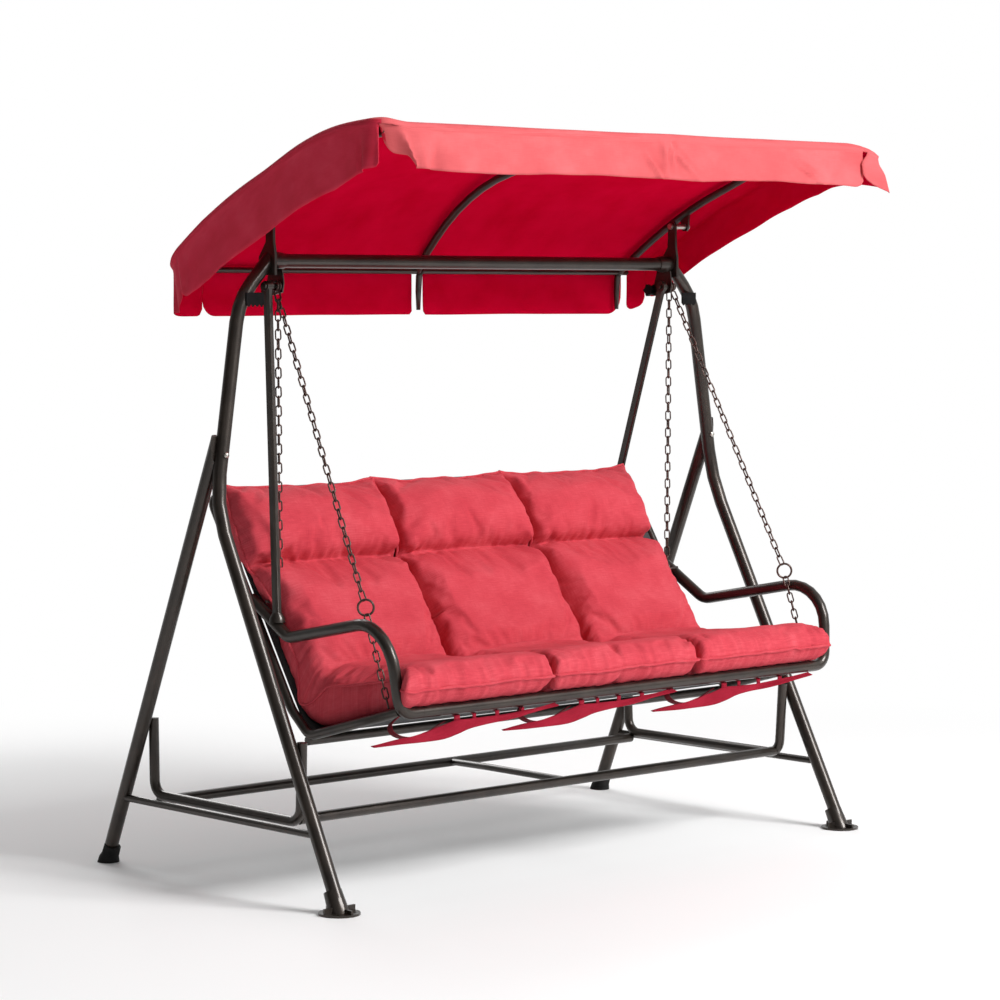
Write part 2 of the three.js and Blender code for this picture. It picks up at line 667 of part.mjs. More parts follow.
// Side view of what the sitter rests on: the side tubes' axis from behind the front rail up to
// height `top`, with its bends.
function restLine(top) {
  const [[frontY, frontZ], corner, hip, [topY, topZ]] = SEAT_LINE;
  const share = (top - hip[1]) / (topZ - hip[1]);
  const ends = [[frontY + 12, frontZ - 3, 0], [hip[0] + (topY - hip[0]) * share, top, 0]];
  const route = new BentPath([ends[0], corner, hip, ends[1]].map(([y, z, r]) => [0, y, z, r]));
  return route.stations.map(({ point }) => [point.y, point.z]);
}

// The sling: a thin sheet stretched between the side tubes, from front rail to top rail.
function sling() {
  const line = restLine(980);
  const band = [...offsetLine(line, SLING_OUTER), ...offsetLine(line, SLING_INNER).reverse()];
  return sidePlate(band, -SLING_HALF, 2 * SLING_HALF);
}

// Side view of a one-piece cushion: along the sling at the back, padded towards the sitter.
function cushionOutline() {
  return [
    ...offsetLine(restLine(972), CUSHION_LIFT),
    [182, 1022], [150, 1040], [112, 1036], [84, 1010], [-18, 866], [-128, 700],
    [-196, 600], [-240, 576], [-330, 580], [-450, 602], [-548, 624], [-600, 616],
    [-632, 590], [-636, 560], [-612, 536],
  ];
}

atBothEnds("seat_side", metal, seatSide);
atBothEnds("armrest", metal, armrest);
place("seat_front_rail",
  crossRail(FRONT_RAIL.y, FRONT_RAIL.z, ARM_R, SEAT_RAIL_END - GAP), metal);
place("seat_top_rail", crossRail(222, 1020, SEAT_R, SEAT_RAIL_END - GAP), metal);
place("seat_lower_rail", lowerRail(), metal);
place("sling", sling(), webbing);
place("hanger_bar_L", armHanger(), metal);
place("hanger_bar_R", backHanger(), metal);
atBothEnds("front_chain", bronze, frontChain);
atBothEnds("rear_chain", bronze, rearChain);
["left", "middle", "right"].forEach((name, i) => {
  const x0 = (i - 1) * CUSHION_PITCH - CUSHION_WIDTH / 2;
  place(`cushion_${name}`, sidePlate(cushionOutline(), x0, CUSHION_WIDTH), linen);
});

// ---------------------------------------------------------------- cushion straps
// A pointed tie strap under the front rail: it hugs the rail's underside and hangs to a point.
function strap(x) {
  const z = FRONT_RAIL.z - ARM_R - GAP;
  const outline = [
    [x + 20, z], [x - 160, z], [x - 150, z - 10], [x - 120, z - 14], [x - 200, z - 44],
    [x - 110, z - 34], [x + 10, z - 24], [x + 90, z - 8], [x + 110, z],
  ];
  return frontPlate(outline.reverse(), FRONT_RAIL.y + 2, 3);
}

[-600, -95, 410].forEach((x, i) => place(`strap_${["left", "middle", "right"][i]}`, strap(x), canvas));

// ---------------------------------------------------------------- origin
const bounds = new THREE.Box3().setFromObject(assembly, true);
assembly.position.set(0, -(bounds.min.y + bounds.max.y) / 2, -bounds.min.z);

export default swing;
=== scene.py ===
"""Three-seat garden swing with a fabric canopy: the looks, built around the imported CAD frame.

Lengths are metres. "Beam frame" means the row's frame with Y measured from the top beam's axis.
"""

import math

import bpy
import numpy as np
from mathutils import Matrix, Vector, noise


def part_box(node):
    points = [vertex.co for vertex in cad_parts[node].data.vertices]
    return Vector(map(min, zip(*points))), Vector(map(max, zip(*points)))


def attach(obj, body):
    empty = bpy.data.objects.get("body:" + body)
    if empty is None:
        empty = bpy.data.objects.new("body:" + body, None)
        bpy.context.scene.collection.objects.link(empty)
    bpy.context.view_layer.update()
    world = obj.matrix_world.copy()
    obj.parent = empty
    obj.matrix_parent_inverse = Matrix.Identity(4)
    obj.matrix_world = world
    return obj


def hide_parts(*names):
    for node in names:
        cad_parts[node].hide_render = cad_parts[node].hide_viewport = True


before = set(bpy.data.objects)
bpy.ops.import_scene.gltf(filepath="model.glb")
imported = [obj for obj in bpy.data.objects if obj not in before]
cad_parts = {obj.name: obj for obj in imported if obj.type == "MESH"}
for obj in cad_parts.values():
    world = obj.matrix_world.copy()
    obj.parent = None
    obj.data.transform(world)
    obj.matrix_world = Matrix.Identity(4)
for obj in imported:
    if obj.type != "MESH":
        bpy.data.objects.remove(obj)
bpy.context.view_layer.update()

SIDES = (("L", -1), ("R", 1))


def middle_of(node):
    low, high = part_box(node)
    return (low + high) / 2


BEAM = middle_of("top_beam")


def place(x, y, z):
    """A point of the beam frame in the row frame."""
    return Vector((x, y + BEAM.y, z))


# ------------------------------------------------------------------ materials
class Shader:
    """Short names for building one Principled material."""

    def __init__(self, name, **values):
        self.material = bpy.data.materials.new(name)
        self.material.use_nodes = True
        self.nodes = self.material.node_tree.nodes
        self.links = self.material.node_tree.links
        self.surface = self.nodes["Principled BSDF"]
        for socket, value in values.items():
            label = "Specular IOR Level" if socket == "specular" else socket.replace("_", " ").title()
            self.surface.inputs[label].default_value = value

    def add(self, kind, **settings):
        node = self.nodes.new("ShaderNode" + kind)
        for key, value in settings.items():
            if hasattr(node, key):
                setattr(node, key, value)
            else:
                node.inputs[key.replace("_", " ").title()].default_value = value
        return node

    def link(self, out, into):
        self.links.new(out, into)

    def coordinates(self, attribute=None):
        if attribute:
            return self.add("Attribute", attribute_name=attribute).outputs["Vector"]
        return self.add("TexCoord").outputs["Object"]

    def scaled(self, vector, scale):
        node = self.add("Mapping")
        node.inputs["Scale"].default_value = scale
        self.link(vector, node.inputs["Vector"])
        return node.outputs["Vector"]

    def noise(self, vector, scale, detail=3.0, roughness=0.55):
        node = self.add("TexNoise", scale=scale, detail=detail, roughness=roughness)
        self.link(vector, node.inputs["Vector"])
        return node.outputs["Fac"]

    def wave(self, vector, scale, direction, distortion=0.0):
        node = self.add("TexWave", bands_direction=direction, scale=scale, distortion=distortion)
        self.link(vector, node.inputs["Vector"])
        return node.outputs["Fac"]

    def ramp(self, value, stops):
        node = self.add("ValToRGB")
        ends = node.color_ramp.elements
        while len(ends) < len(stops):
            ends.new(0.5)
        for element, (position, colour) in zip(ends, stops):
            element.position = position
            element.color = (*colour, 1)
        self.link(value, node.inputs["Fac"])
        return node.outputs["Color"]

    def math(self, operation, a, b):
        node = self.add("Math", operation=operation)
        for socket, value in zip(node.inputs, (a, b)):
            if isinstance(value, (int, float)):
                socket.default_value = value
            else:
                self.link(value, socket)
        return node.outputs["Value"]

    def stretched(self, value, low, high):
        node = self.add("MapRange")
        node.inputs["To Min"].default_value = low
        node.inputs["To Max"].default_value = high
        self.link(value, node.inputs["Value"])
        return node.outputs["Result"]

    def bump(self, height, strength, distance, under=None):
        node = self.add("Bump", strength=strength, distance=distance)
        self.link(height, node.inputs["Height"])
        if under:
            self.link(under, node.inputs["Normal"])
        return node.outputs["Normal"]

    def finish(self, colour=None, roughness=None, normal=None):
        for out, socket in ((colour, "Base Color"), (roughness, "Roughness"), (normal, "Normal")):
            if out is not None:
                self.link(out, self.surface.inputs[socket])
        return self.material


def painted(name, dark, light, roughness, metallic, coat):
    """Powder coat on steel: orange peel, faint cloudiness and fine specks of rubbed paint."""
    s = Shader(name, metallic=metallic, coat_weight=coat, coat_roughness=0.12)
    where = s.coordinates()
    cloud = s.noise(where, 14, 4)
    specks = s.noise(where, 420, 2)
    peel = s.noise(where, 900, 1)
    mixed = s.math("ADD", s.math("MULTIPLY", cloud, 0.75), s.math("MULTIPLY", specks, 0.25))
    colour = s.ramp(mixed, [(0.3, dark), (0.72, light)])
    rough = s.stretched(mixed, roughness - 0.07, roughness + 0.1)
    return s.finish(colour, rough, s.bump(peel, 0.12, 0.0006))


def steel(name):
    s = Shader(name, metallic=0.95)
    where = s.coordinates()
    streaks = s.noise(s.scaled(where, (60, 900, 900)), 1, 3)
    colour = s.ramp(streaks, [(0.25, (0.30, 0.28, 0.25)), (0.75, (0.62, 0.60, 0.56))])
    return s.finish(colour, s.stretched(streaks, 0.24, 0.46), s.bump(streaks, 0.15, 0.0003))


def moulded(name, base, roughness):
    """Moulded rubber or plastic with a fine grain and a little dust in it."""
    s = Shader(name, specular=0.12)
    where = s.coordinates()
    grain = s.noise(where, 1300, 2)
    dust = s.noise(where, 30, 4)
    lighter = tuple(c * 2.2 + 0.004 for c in base)
    colour = s.ramp(dust, [(0.4, base), (0.85, lighter)])
    return s.finish(colour, s.stretched(grain, roughness - 0.08, roughness + 0.08),
                    s.bump(grain, 0.25, 0.0004))


def woven(name, dark, base, light, thread, slub, sheen, relief):
    """Plain weave in the cloth's own coordinates: threads, slubs along both ways, soft mottling."""
    s = Shader(name, sheen_weight=sheen, sheen_roughness=0.45, specular=0.2)
    s.surface.inputs["Sheen Tint"].default_value = (*light, 1)
    where = s.coordinates("cloth")
    turns = 1 / thread
    across = s.wave(where, turns / 2, "X", 0.6)
    along = s.wave(where, turns / 2, "Y", 0.6)
    weft = s.noise(s.scaled(where, (28, 520, 1)), 1, 3)
    warp = s.noise(s.scaled(where, (620, 34, 1)), 1, 3)
    mottle = s.noise(where, 9, 3)
    slubs = s.math("ADD", s.math("MULTIPLY", weft, 0.6), s.math("MULTIPLY", warp, 0.4))
    tone = s.math("ADD", s.math("MULTIPLY", slubs, slub), s.math("MULTIPLY", mottle, 1 - slub))
    colour = s.ramp(tone, [(0.28, dark), (0.5, base), (0.74, light)])
    height = s.math("ADD", s.math("MAXIMUM", across, along), s.math("MULTIPLY", slubs, 1.4))
    return s.finish(colour, s.stretched(slubs, 0.72, 0.95), s.bump(height, relief, thread * 0.5))


def ribbed(name, dark, light, pitch):
    """Sling mesh: thick cords across, `pitch` apart, on fine threads along."""
    thread = 0.0016
    s = Shader(name)
    where = s.coordinates("cloth")
    cords = s.wave(where, 1 / pitch / 2, "Y", 0.3)
    threads = s.wave(where, 1 / thread / 2, "X", 0.4)
    cloud = s.noise(where, 18, 3)
    tone = s.math("ADD", s.math("MULTIPLY", cords, 0.6), s.math("MULTIPLY", cloud, 0.4))
    height = s.math("ADD", cords, s.math("MULTIPLY", threads, 0.25))
    return s.finish(s.ramp(tone, [(0.2, dark), (0.8, light)]), s.stretched(threads, 0.55, 0.8),
                    s.bump(height, 0.8, 0.0014))


FRAME_PAINT = painted("frame_paint", (0.022, 0.017, 0.014), (0.050, 0.038, 0.030), 0.34, 0.55, 0.35)
CHAIN_PAINT = painted("chain_paint", (0.045, 0.028, 0.024), (0.13, 0.085, 0.07), 0.38, 0.75, 0.1)
ZINC = steel("zinc_steel")
RUBBER = moulded("foot_rubber", (0.012, 0.012, 0.012), 0.7)
PLASTIC = moulded("black_plastic", (0.003, 0.003, 0.0034), 0.6)
LINEN = woven("cushion_linen", (0.46, 0.026, 0.046), (0.60, 0.058, 0.080), (0.73, 0.128, 0.155),
              0.0012, 0.62, 0.22, 0.5)
CANVAS = woven("canopy_canvas", (0.54, 0.078, 0.086), (0.62, 0.106, 0.114), (0.70, 0.148, 0.156),
               0.0009, 0.35, 0.0, 0.35)
# Painted shade: a darker, deeper red copy of the canvas, put on the side valances.
CANVAS_SIDE_SHADED = woven("canopy_canvas_side_painted_shade", (0.50, 0.016, 0.036), (0.60, 0.026, 0.060), (0.68, 0.050, 0.090),
                    0.0009, 0.35, 0.0, 0.35)
# Painted shade: a darker, deeper red copy of the canvas for the cloth's inner face, with the red of the
# light coming through the cloth painted in.
CANVAS_INSIDE_SHADED = woven("canopy_canvas_inside_painted_shade", (0.47, 0.0005, 0.016), (0.56, 0.0015, 0.026),
                      (0.63, 0.003, 0.036), 0.0009, 0.3, 0.0, 0.3)
# Painted glow: a faint red emission stands in for the little daylight that comes through the cloth, so its
# inside is never quite dark.
INSIDE_GLOW = {"Specular IOR Level": 0, "Emission Color": (1, 0, 0.05, 1), "Emission Strength": 0.05}
for socket, value in INSIDE_GLOW.items():
    CANVAS_INSIDE_SHADED.node_tree.nodes["Principled BSDF"].inputs[socket].default_value = value
STRAP_CLOTH = woven("strap_cloth", (0.20, 0.002, 0.012), (0.30, 0.006, 0.024), (0.38, 0.018, 0.040),
                    0.0011, 0.4, 0.0, 0.4)
STRAP_DARK = woven("strap_lining", (0.07, 0.001, 0.005), (0.11, 0.002, 0.009), (0.17, 0.006, 0.016),
                   0.0011, 0.4, 0.0, 0.4)
SLING_MESH = ribbed("sling_mesh", (0.020, 0.020, 0.021), (0.085, 0.085, 0.088), 0.0052)


# ------------------------------------------------------------------ CAD nodes that stay
NODE_LOOKS = (
    (("front_leg_post", "rear_leg", "top_beam", "beam_sleeve", "end_bracket", "u_brace", "lower_bar",
      "front_base_rail", "rear_base_rail", "centre_brace", "front_foot", "hanger_bracket",
      "canopy_front_bar", "canopy_rear_bar", "canopy_rib", "seat_side", "armrest", "seat_front_rail",
      "seat_top_rail", "seat_lower_rail", "hanger_bar"), FRAME_PAINT),
    (("leg_bolt", "canopy_bolt"), ZINC),
    (("rear_foot_cap",), RUBBER),
    (("tilt_rack", "clamp_knob"), PLASTIC),
)
SHARP_ANGLE = math.radians(38)


def finish_node(obj, material):
    """Gives a CAD node its paint and rounds its facets, without moving a vertex."""
    mesh = obj.data
    if "custom_normal" in mesh.attributes:
        mesh.attributes.remove(mesh.attributes["custom_normal"])
    mesh.shade_smooth()
    mesh.materials.clear()
    mesh.materials.append(material)
    weld = obj.modifiers.new("weld", "WELD")
    weld.merge_threshold = 1e-5
    split = obj.modifiers.new("sharp_edges", "EDGE_SPLIT")
    split.split_angle = SHARP_ANGLE


for prefixes, material in NODE_LOOKS:
    for node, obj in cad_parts.items():
        if node.startswith(prefixes):
            finish_node(obj, material)


# ------------------------------------------------------------------ mesh helpers
class Build:
    """Collects points and faces, with the cloth coordinates of each point."""

    def __init__(self):
        self.points = []
        self.faces = []
        self.cloth = []

    def add(self, points, faces, cloth=None):
        start = len(self.points)
        self.points += [tuple(p) for p in points]
        self.faces += [tuple(start + i for i in face) for face in faces]
        self.cloth += list(cloth) if cloth is not None else [(0, 0, 0)] * len(points)
        return start

    def grid(self, rows, cloth=None):
        """Rows of points, each as long as the others. `cloth` has the same shape."""
        width = len(rows[0])
        flat = [p for row in rows for p in row]
        coords = [c for row in cloth for c in row] if cloth else None
        faces = [
            (r * width + c, r * width + c + 1, (r + 1) * width + c + 1, (r + 1) * width + c)
            for r in range(len(rows) - 1)
            for c in range(width - 1)
        ]
        return self.add(flat, faces, coords)

    def tube(self, path, radius, sides=8, closed=False):
        """A round tube along `path`. `radius` is a number or one number per point."""
        points = [Vector(p) for p in path]
        count = len(points)
        radii = [radius] * count if isinstance(radius, (int, float)) else radius
        length, rings, coords = 0.0, [], []
        side = None
        for i, point in enumerate(points):
            after = points[(i + 1) % count] if closed or i < count - 1 else point
            before = points[i - 1] if closed or i else point
            heading = (after - before).normalized()
            if side is None:
                side = heading.orthogonal().normalized()
            side = (side - heading * side.dot(heading)).normalized()
            up = heading.cross(side)
            length += (point - before).length if i else 0
            for k in range(sides):
                angle = 2 * math.pi * k / sides
                offset = side * math.cos(angle) + up * math.sin(angle)
                rings.append(point + offset * radii[i])
                coords.append((radii[i] * angle, length, 0))
        faces = []
        for i in range(count if closed else count - 1):
            j = (i + 1) % count
            for k in range(sides):
                m = (k + 1) % sides
                faces.append((i * sides + k, i * sides + m, j * sides + m, j * sides + k))
        if not closed:
            faces.append(tuple(range(sides))[::-1])
            faces.append(tuple((count - 1) * sides + k for k in range(sides)))
        return self.add(rings, faces, coords)

    def object(self, name, material, body):
        mesh = bpy.data.meshes.new(name)
        mesh.from_pydata(self.points, [], self.faces)
        coords = mesh.attributes.new("cloth", "FLOAT_VECTOR", "POINT")
        coords.data.foreach_set("vector", np.array(self.cloth, np.float32).ravel())
        mesh.materials.append(material)
        mesh.shade_smooth()
        obj = bpy.data.objects.new(name, mesh)
        bpy.context.scene.collection.objects.link(obj)
        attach(obj, body)
        return obj


def thicken(obj, thickness, inside=False):
    """Turns a surface into cloth of that thickness; with `inside`, its other face has the next material."""
    solid = obj.modifiers.new("cloth_thickness", "SOLIDIFY")
    solid.thickness = thickness
    solid.offset = -1
    solid.material_offset = 1 if inside else 0
    return obj


def catmull(points, steps):
    """A smooth line through the points, with `steps` pieces in each span."""
    points = np.array(points, float)
    padded = np.vstack([2 * points[0] - points[1], points, 2 * points[-1] - points[-2]])
    out = []
    for i in range(1, len(padded) - 2):
        p0, p1, p2, p3 = padded[i - 1:i + 3]
        for k in range(steps):
            t = k / steps
            out.append(0.5 * (2 * p1 + (p2 - p0) * t + (2 * p0 - 5 * p1 + 4 * p2 - p3) * t * t
                              + (3 * p1 - p0 - 3 * p2 + p3) * t ** 3))
    out.append(points[-1])
    return np.array(out)


def resample(line, spacing):
    """The same line with evenly spaced points, and the distance along it of each."""
    line = np.array(line, float)
    steps = np.linalg.norm(np.diff(line, axis=0), axis=1)
    run = np.concatenate([[0], np.cumsum(steps)])
    count = max(2, round(run[-1] / spacing) + 1)
    at = np.linspace(0, run[-1], count)
    return np.array([np.interp(at, run, line[:, k]) for k in range(line.shape[1])]).T, at


def smooth_step(value, low, high):
    t = np.clip((value - low) / (high - low), 0, 1)
    return t * t * (3 - 2 * t)


def ripple(a, b, seed=0.0):
    """Smooth noise from -1 to 1."""
    return noise.noise(Vector((a, b, seed)))


# ------------------------------------------------------------------ canopy
CANOPY_HALF = 0.920
CANOPY_CROWN = 0.078
CANOPY_EDGE = ((-0.626, 1.990), (-0.470, 1.981), (-0.330, 1.946), (-0.186, 1.886),
               (-0.040, 1.822), (0.111, 1.742), (0.205, 1.688), (0.284, 1.640))
LEFT_DROOP = ((-0.626, -0.010), (-0.494, -0.004), (-0.172, 0.002), (0.084, 0.000), (0.284, 0.014))
# Length of the left side valance by Y, and of the right one by the distance from its front end.
LEFT_DROP = ((-0.620, 0.106), (-0.560, 0.114), (-0.450, 0.142), (0.080, 0.149), (0.150, 0.140),
             (0.205, 0.122))
RIGHT_DROP = ((0.000, 0.078), (0.032, 0.104), (0.065, 0.094), (0.110, 0.088), (0.190, 0.112),
              (0.300, 0.121), (0.900, 0.117))
REAR_DROP = 0.124
FRONT_CORNER, REAR_CORNER = 0.050, 0.120
SHOULDER = 0.017  # radius of the rounded edge between the top and the valances
CANOPY_CELL = 0.0085
VALANCE_ROWS = 14
CLOTH_THICKNESS = 0.0016
# Across: the top and a side valance at each end. Along: the curved top, the front and the rear valance.
SIDE_END = (0.202, 0.262)  # Y where the left and the right side valance stop
REAR_GAP = (-0.757, 0.846)  # X of the slits between corner flap and rear valance
REAR_MIDDLE = (0.003, 0.043)  # X of the two ends at the rear valance's middle gap

edge_line = catmull(CANOPY_EDGE, 12)
FRONT_Y, REAR_Y = CANOPY_EDGE[0][0] - 0.014, CANOPY_EDGE[-1][0] + 0.014


def bell(value, centre, width):
    return math.exp(-((value - centre) / width) ** 2)


def canopy_height(x, y):
    """Height of the cloth's outer face: its side edge, its bow across, its droop past the ribs."""
    share = min(1.0, max(0.0, (y - CANOPY_EDGE[0][0]) / (CANOPY_EDGE[-1][0] - CANOPY_EDGE[0][0])))
    edge = float(np.interp(y, edge_line[:, 0], edge_line[:, 1]))
    across = 1 - (x / CANOPY_HALF) ** 2
    crown = CANOPY_CROWN * across * math.sin(math.pi * share ** 2.1)
    sag = 0.007 * math.sin(math.pi * min(1, abs(x) / 0.815)) ** 2 * math.sin(math.pi * share)
    wrinkle = 0.0020 * ripple(x * 4, y * 3, 7) * across
    droop = 0.010 * float(smooth_step(x, 0.84, 0.92)) * float(smooth_step(-y, 0.50, 0.62))
    if x < 0:
        side = float(np.interp(y, *zip(*LEFT_DROOP)))
        droop += side * float(smooth_step(-x, 0.80, 0.90))
    return edge + crown - sag + wrinkle - droop


def at_right_corner(x, y):
    """1 at the front right corner, which hangs out and low, fading to 0 around it."""
    return math.exp(-((x - 0.905) / 0.040) ** 2 - ((y + 0.615) / 0.075) ** 2)


def inset_plan(x, y):
    """Draws the plan's square corners in to their radius; also gives the outward direction."""
    to_rear = y > (FRONT_Y + REAR_Y) / 2
    side, way = math.copysign(1, x), 1 if to_rear else -1
    radius = (REAR_CORNER if to_rear else FRONT_CORNER) - SHOULDER
    half, end = CANOPY_HALF - SHOULDER, (REAR_Y - SHOULDER if to_rear else FRONT_Y + SHOULDER)
    dx, dy = abs(x) - half + radius, way * (y - end) + radius
    if dx > 0 and dy > 0:
        reach = math.hypot(dx, dy)
        keep = max(dx, dy) / reach
        point = side * (half - radius + dx * keep), end - way * radius + way * dy * keep
        return point, (side * dx / reach, way * dy / reach)
    if dx > dy:
        return (x, y), (side, 0)
    return (x, y), (0, way)


def canopy_grid():
    """The top's grid points, and its rim from the middle of the front by way of the -X side."""
    columns = 2 * round((CANOPY_HALF - SHOULDER) / CANOPY_CELL)
    rows = round((REAR_Y - FRONT_Y) * 1.08 / CANOPY_CELL)
    xs = np.linspace(-CANOPY_HALF + SHOULDER, CANOPY_HALF - SHOULDER, columns + 1)
    ys = np.linspace(FRONT_Y + SHOULDER, REAR_Y - SHOULDER, rows + 1)
    points = [[inset_plan(x, y) for x in xs] for y in ys]
    middle = columns // 2
    walk = [(0, c) for c in range(middle, -1, -1)] + [(r, 0) for r in range(1, rows + 1)]
    walk += [(rows, c) for c in range(1, columns + 1)]
    walk += [(r, columns) for r in range(rows - 1, -1, -1)]
    walk += [(0, c) for c in range(columns - 1, middle - 1, -1)]
    rim = []
    for r, c in walk:
        (x, y), (ox, oy) = points[r][c]
        rim.append((x, y, canopy_height(x, y), ox, oy))
    return points, np.array(rim)


top_points, rim = canopy_grid()
rim_run = np.concatenate([[0], np.cumsum(np.linalg.norm(np.diff(rim[:, :3], axis=0), axis=1))])
RIM = float(rim_run[-1])


def rim_at(distance):
    """The rim's point and outward direction so far along it, going round as often as needed."""
    return [float(np.interp(distance % RIM, rim_run, rim[:, k])) for k in range(5)]


def rim_distance(x, y):
    """How far along the rim its point nearest to (x, y) is."""
    return float(rim_run[np.argmin(np.hypot(rim[:, 0] - x, rim[:, 1] - y))])


def shoulder_row(x, y, z, ox, oy, turn):
    """The rounded edge between top and valance, `turn` from 0 to 1 over it."""
    corner = at_right_corner(x, y)
    radius = SHOULDER + 0.010 * corner
    out = radius * math.sin(turn * math.pi / 2)
    down = radius * (1 - math.cos(turn * math.pi / 2))
    return x + ox * out + 0.054 * corner * turn, y + oy * out - 0.008 * corner * turn, z - down


# Wrinkles across the front valance: X and share of the drop where each starts, and how steeply it falls.
DIAGONAL_FOLDS = ((0.080, 0.05, 60.0), (0.102, 0.02, 40.0), (0.116, 0.25, 6.9), (0.020, 0.45, 11.0),
                  (0.600, 0.40, 5.0))
# How much of the front valance's left end is folded back, at its seam and at its hem.
FOLD_TOP, FOLD_LENGTH = 0.050, 0.094
FLAP_TIP, FLAP_BACK = 0.030, 0.150  # along the rim from the right slit: the flap's tip, its far side


def hang(x, y, ox, oy, down, along):
    """How far the valance has moved from straight below its seam, at the share `down` of its drop."""
    out = 0.007 * down ** 1.2 * ripple(along * 4.5, down * 0.7, 3)
    out += 0.0035 * down * ripple(along * 14, down * 1.5, 8) - 0.0022 * min(1, down / 0.03)
    if oy < -0.7:
        out += 0.006 * down
        out += 0.017 * bell(x, -0.775, 0.026) * down - 0.012 * bell(x, -0.730, 0.022) * down
        for start_x, start, slope in DIAGONAL_FOLDS:
            off = (x - start_x) - (down - start) / slope
            crease = bell(off, 0, 0.009) - 0.6 * bell(off, 0.017, 0.009)
            out += 0.013 * crease * bell(down, start + 0.3, 0.34)
    elif ox < -0.7:
        out -= 0.016 * down * float(smooth_step(y, -0.62, -0.5))
        out += 0.010 * down * (bell(y, -0.590, 0.012) - bell(y, -0.560, 0.010))
        out += 0.003 * down * (bell(y, 0.150, 0.016) - bell(y, 0.115, 0.016))
    return Vector((ox * out, oy * out, 0))


def fold_back(end, fold, share, down):
    """The front valance's left end turns back at a slanting fold: a place between its two sides."""
    tail = end + Vector((0.034, 0.026, 0)) * down ** 0.8
    hollow = Vector((0.012, 0.010, 0)) * math.sin(math.pi * share) * down
    return tail.lerp(fold + Vector((0.002, -0.012, 0)) * down, share) + hollow


def flap_place(from_slit, base, down):
    """The front right corner flap: flat at the front up to its tip, then back to the side."""
    tip = place(0.955 + 0.027 * down, -0.652 - 0.012 * down, base.z)
    if from_slit < FLAP_TIP:
        target = place(0.872 + 0.006 * down, -0.648 - 0.006 * down, base.z).lerp(tip, from_slit / FLAP_TIP)
    else:
        target = tip.lerp(base, float(smooth_step(from_slit, FLAP_TIP, FLAP_BACK)))
    return base.lerp(target, float(smooth_step(down, 0.0, 0.55)))


def drop_at(kind, x, y, from_end):
    """A valance's length below its seam."""
    if kind == "front":
        short = 0.030 * float(smooth_step(-x, 0.802, 0.836)) + 0.012 * float(smooth_step(-x, 0.87, 0.90))
        return 0.103 - short + 0.0035 * math.sin(x * 9) + 0.004 * ripple(x * 7, 2)
    if kind == "left":
        return float(np.interp(y, *zip(*LEFT_DROP)))
    if kind == "right":
        return float(np.interp(from_end, *zip(*RIGHT_DROP)))
    return REAR_DROP


def valance(build, start, end, start_round, end_round, kind="rear"):
    """One hanging flap of the rim between two distances along it."""
    inside = [d + lap for lap in (-RIM, 0) for d in rim_run[:-1] if start < d + lap < end]
    stops = [start, *inside, end]
    grid = [[] for _ in range(VALANCE_ROWS + 1)]
    coords = [[] for _ in range(VALANCE_ROWS + 1)]

    def hung(stop, down):
        x, y, z, ox, oy = rim_at(stop)
        sx, sy, sz = shoulder_row(x, y, z, ox, oy, 1)
        drop = drop_at(kind, x, y, end - stop)
        for distance, radius in ((stop - start, start_round), (end - stop, end_round)):
            if distance < radius:
                drop -= radius - math.sqrt(radius ** 2 - (radius - distance) ** 2)
        moved = hang(x, y, ox, oy, down, stop) if down else Vector((0, 0, 0))
        return place(sx, sy, sz - drop * down) + moved, drop

    for stop in stops:
        for r in range(VALANCE_ROWS + 1):
            down = r / VALANCE_ROWS
            point, drop = hung(stop, down)
            from_end = end - stop
            fold = FOLD_TOP + (FOLD_LENGTH - FOLD_TOP) * down
            if kind == "front" and from_end < fold:
                ended, folded = hung(end, down)[0], hung(end - fold, down)[0]
                level = point.z
                point = fold_back(ended, folded, from_end / fold, down)
                point.z = level
            elif kind == "right" and from_end < FLAP_BACK:
                point = flap_place(from_end, point, down)
            elif kind == "tucked":
                point -= Vector((rim_at(stop)[3], rim_at(stop)[4], 0)) * 0.005 * min(1, down / 0.1)
            grid[r].append(point)
            coords[r].append((stop, 1.5 + drop * down, drop * (1 - down)))
    build.grid(grid, coords)


def canopy_top(build):
    """The bowed top and the rounded edge all round it."""
    rows, coords = [], []
    for row in top_points:
        rows.append([place(x, y, canopy_height(x, y)) for (x, y), _ in row])
        coords.append([(x, y, 0.5) for (x, y), _ in row])
    build.grid(rows, coords)
    rows, coords = [], []
    for turn in (0, 0.25, 0.5, 0.75, 1):
        rows.append([place(*shoulder_row(*point, turn)) for point in rim])
        coords.append([(d, 1.4 + turn * SHOULDER, 0.5) for d in rim_run])
    build.grid(rows, coords)


def canopy_valances(build):
    """The hanging flaps: front, left and right side, two rear corners and two rear panels."""
    slit = 0.0040
    front_left, front_right = rim_distance(-CANOPY_HALF, -0.624), rim_distance(0.868, FRONT_Y)
    valance(build, front_right - RIM + slit, front_left - slit, 0.022, 0.034, "front")
    valance(build, front_left - slit, rim_distance(-CANOPY_HALF, SIDE_END[0]), 0.010, 0.048, "left")
    valance(build, rim_distance(CANOPY_HALF, SIDE_END[1]), front_right - slit, 0.050, 0.016, "right")
    for side, side_end, gap, middle in zip((-1, 1), SIDE_END, REAR_GAP, REAR_MIDDLE):
        flap_end = rim_distance(gap, REAR_Y) + (0.012 if side > 0 else 0)
        flap = sorted((rim_distance(side * CANOPY_HALF, side_end - 0.012), flap_end))
        valance(build, *flap, 0.020, 0.020, "tucked")
        panel = sorted((rim_distance(gap, REAR_Y) - side * 0.004, rim_distance(middle, REAR_Y)))
        rounds = (0.010, 0.045) if side > 0 else (0.045, 0.010)
        valance(build, *panel, *rounds)


# The ribs' lower ends that show in the gaps of the rear valance: X of each, then Y, Z and radius down it.
TAIL_XS = (0.012, 0.815)
TAIL_LINE = ((0.266, 1.636, 0.0100), (0.276, 1.612, 0.0095), (0.279, 1.570, 0.0085), (0.279, 1.516, 0.0060))


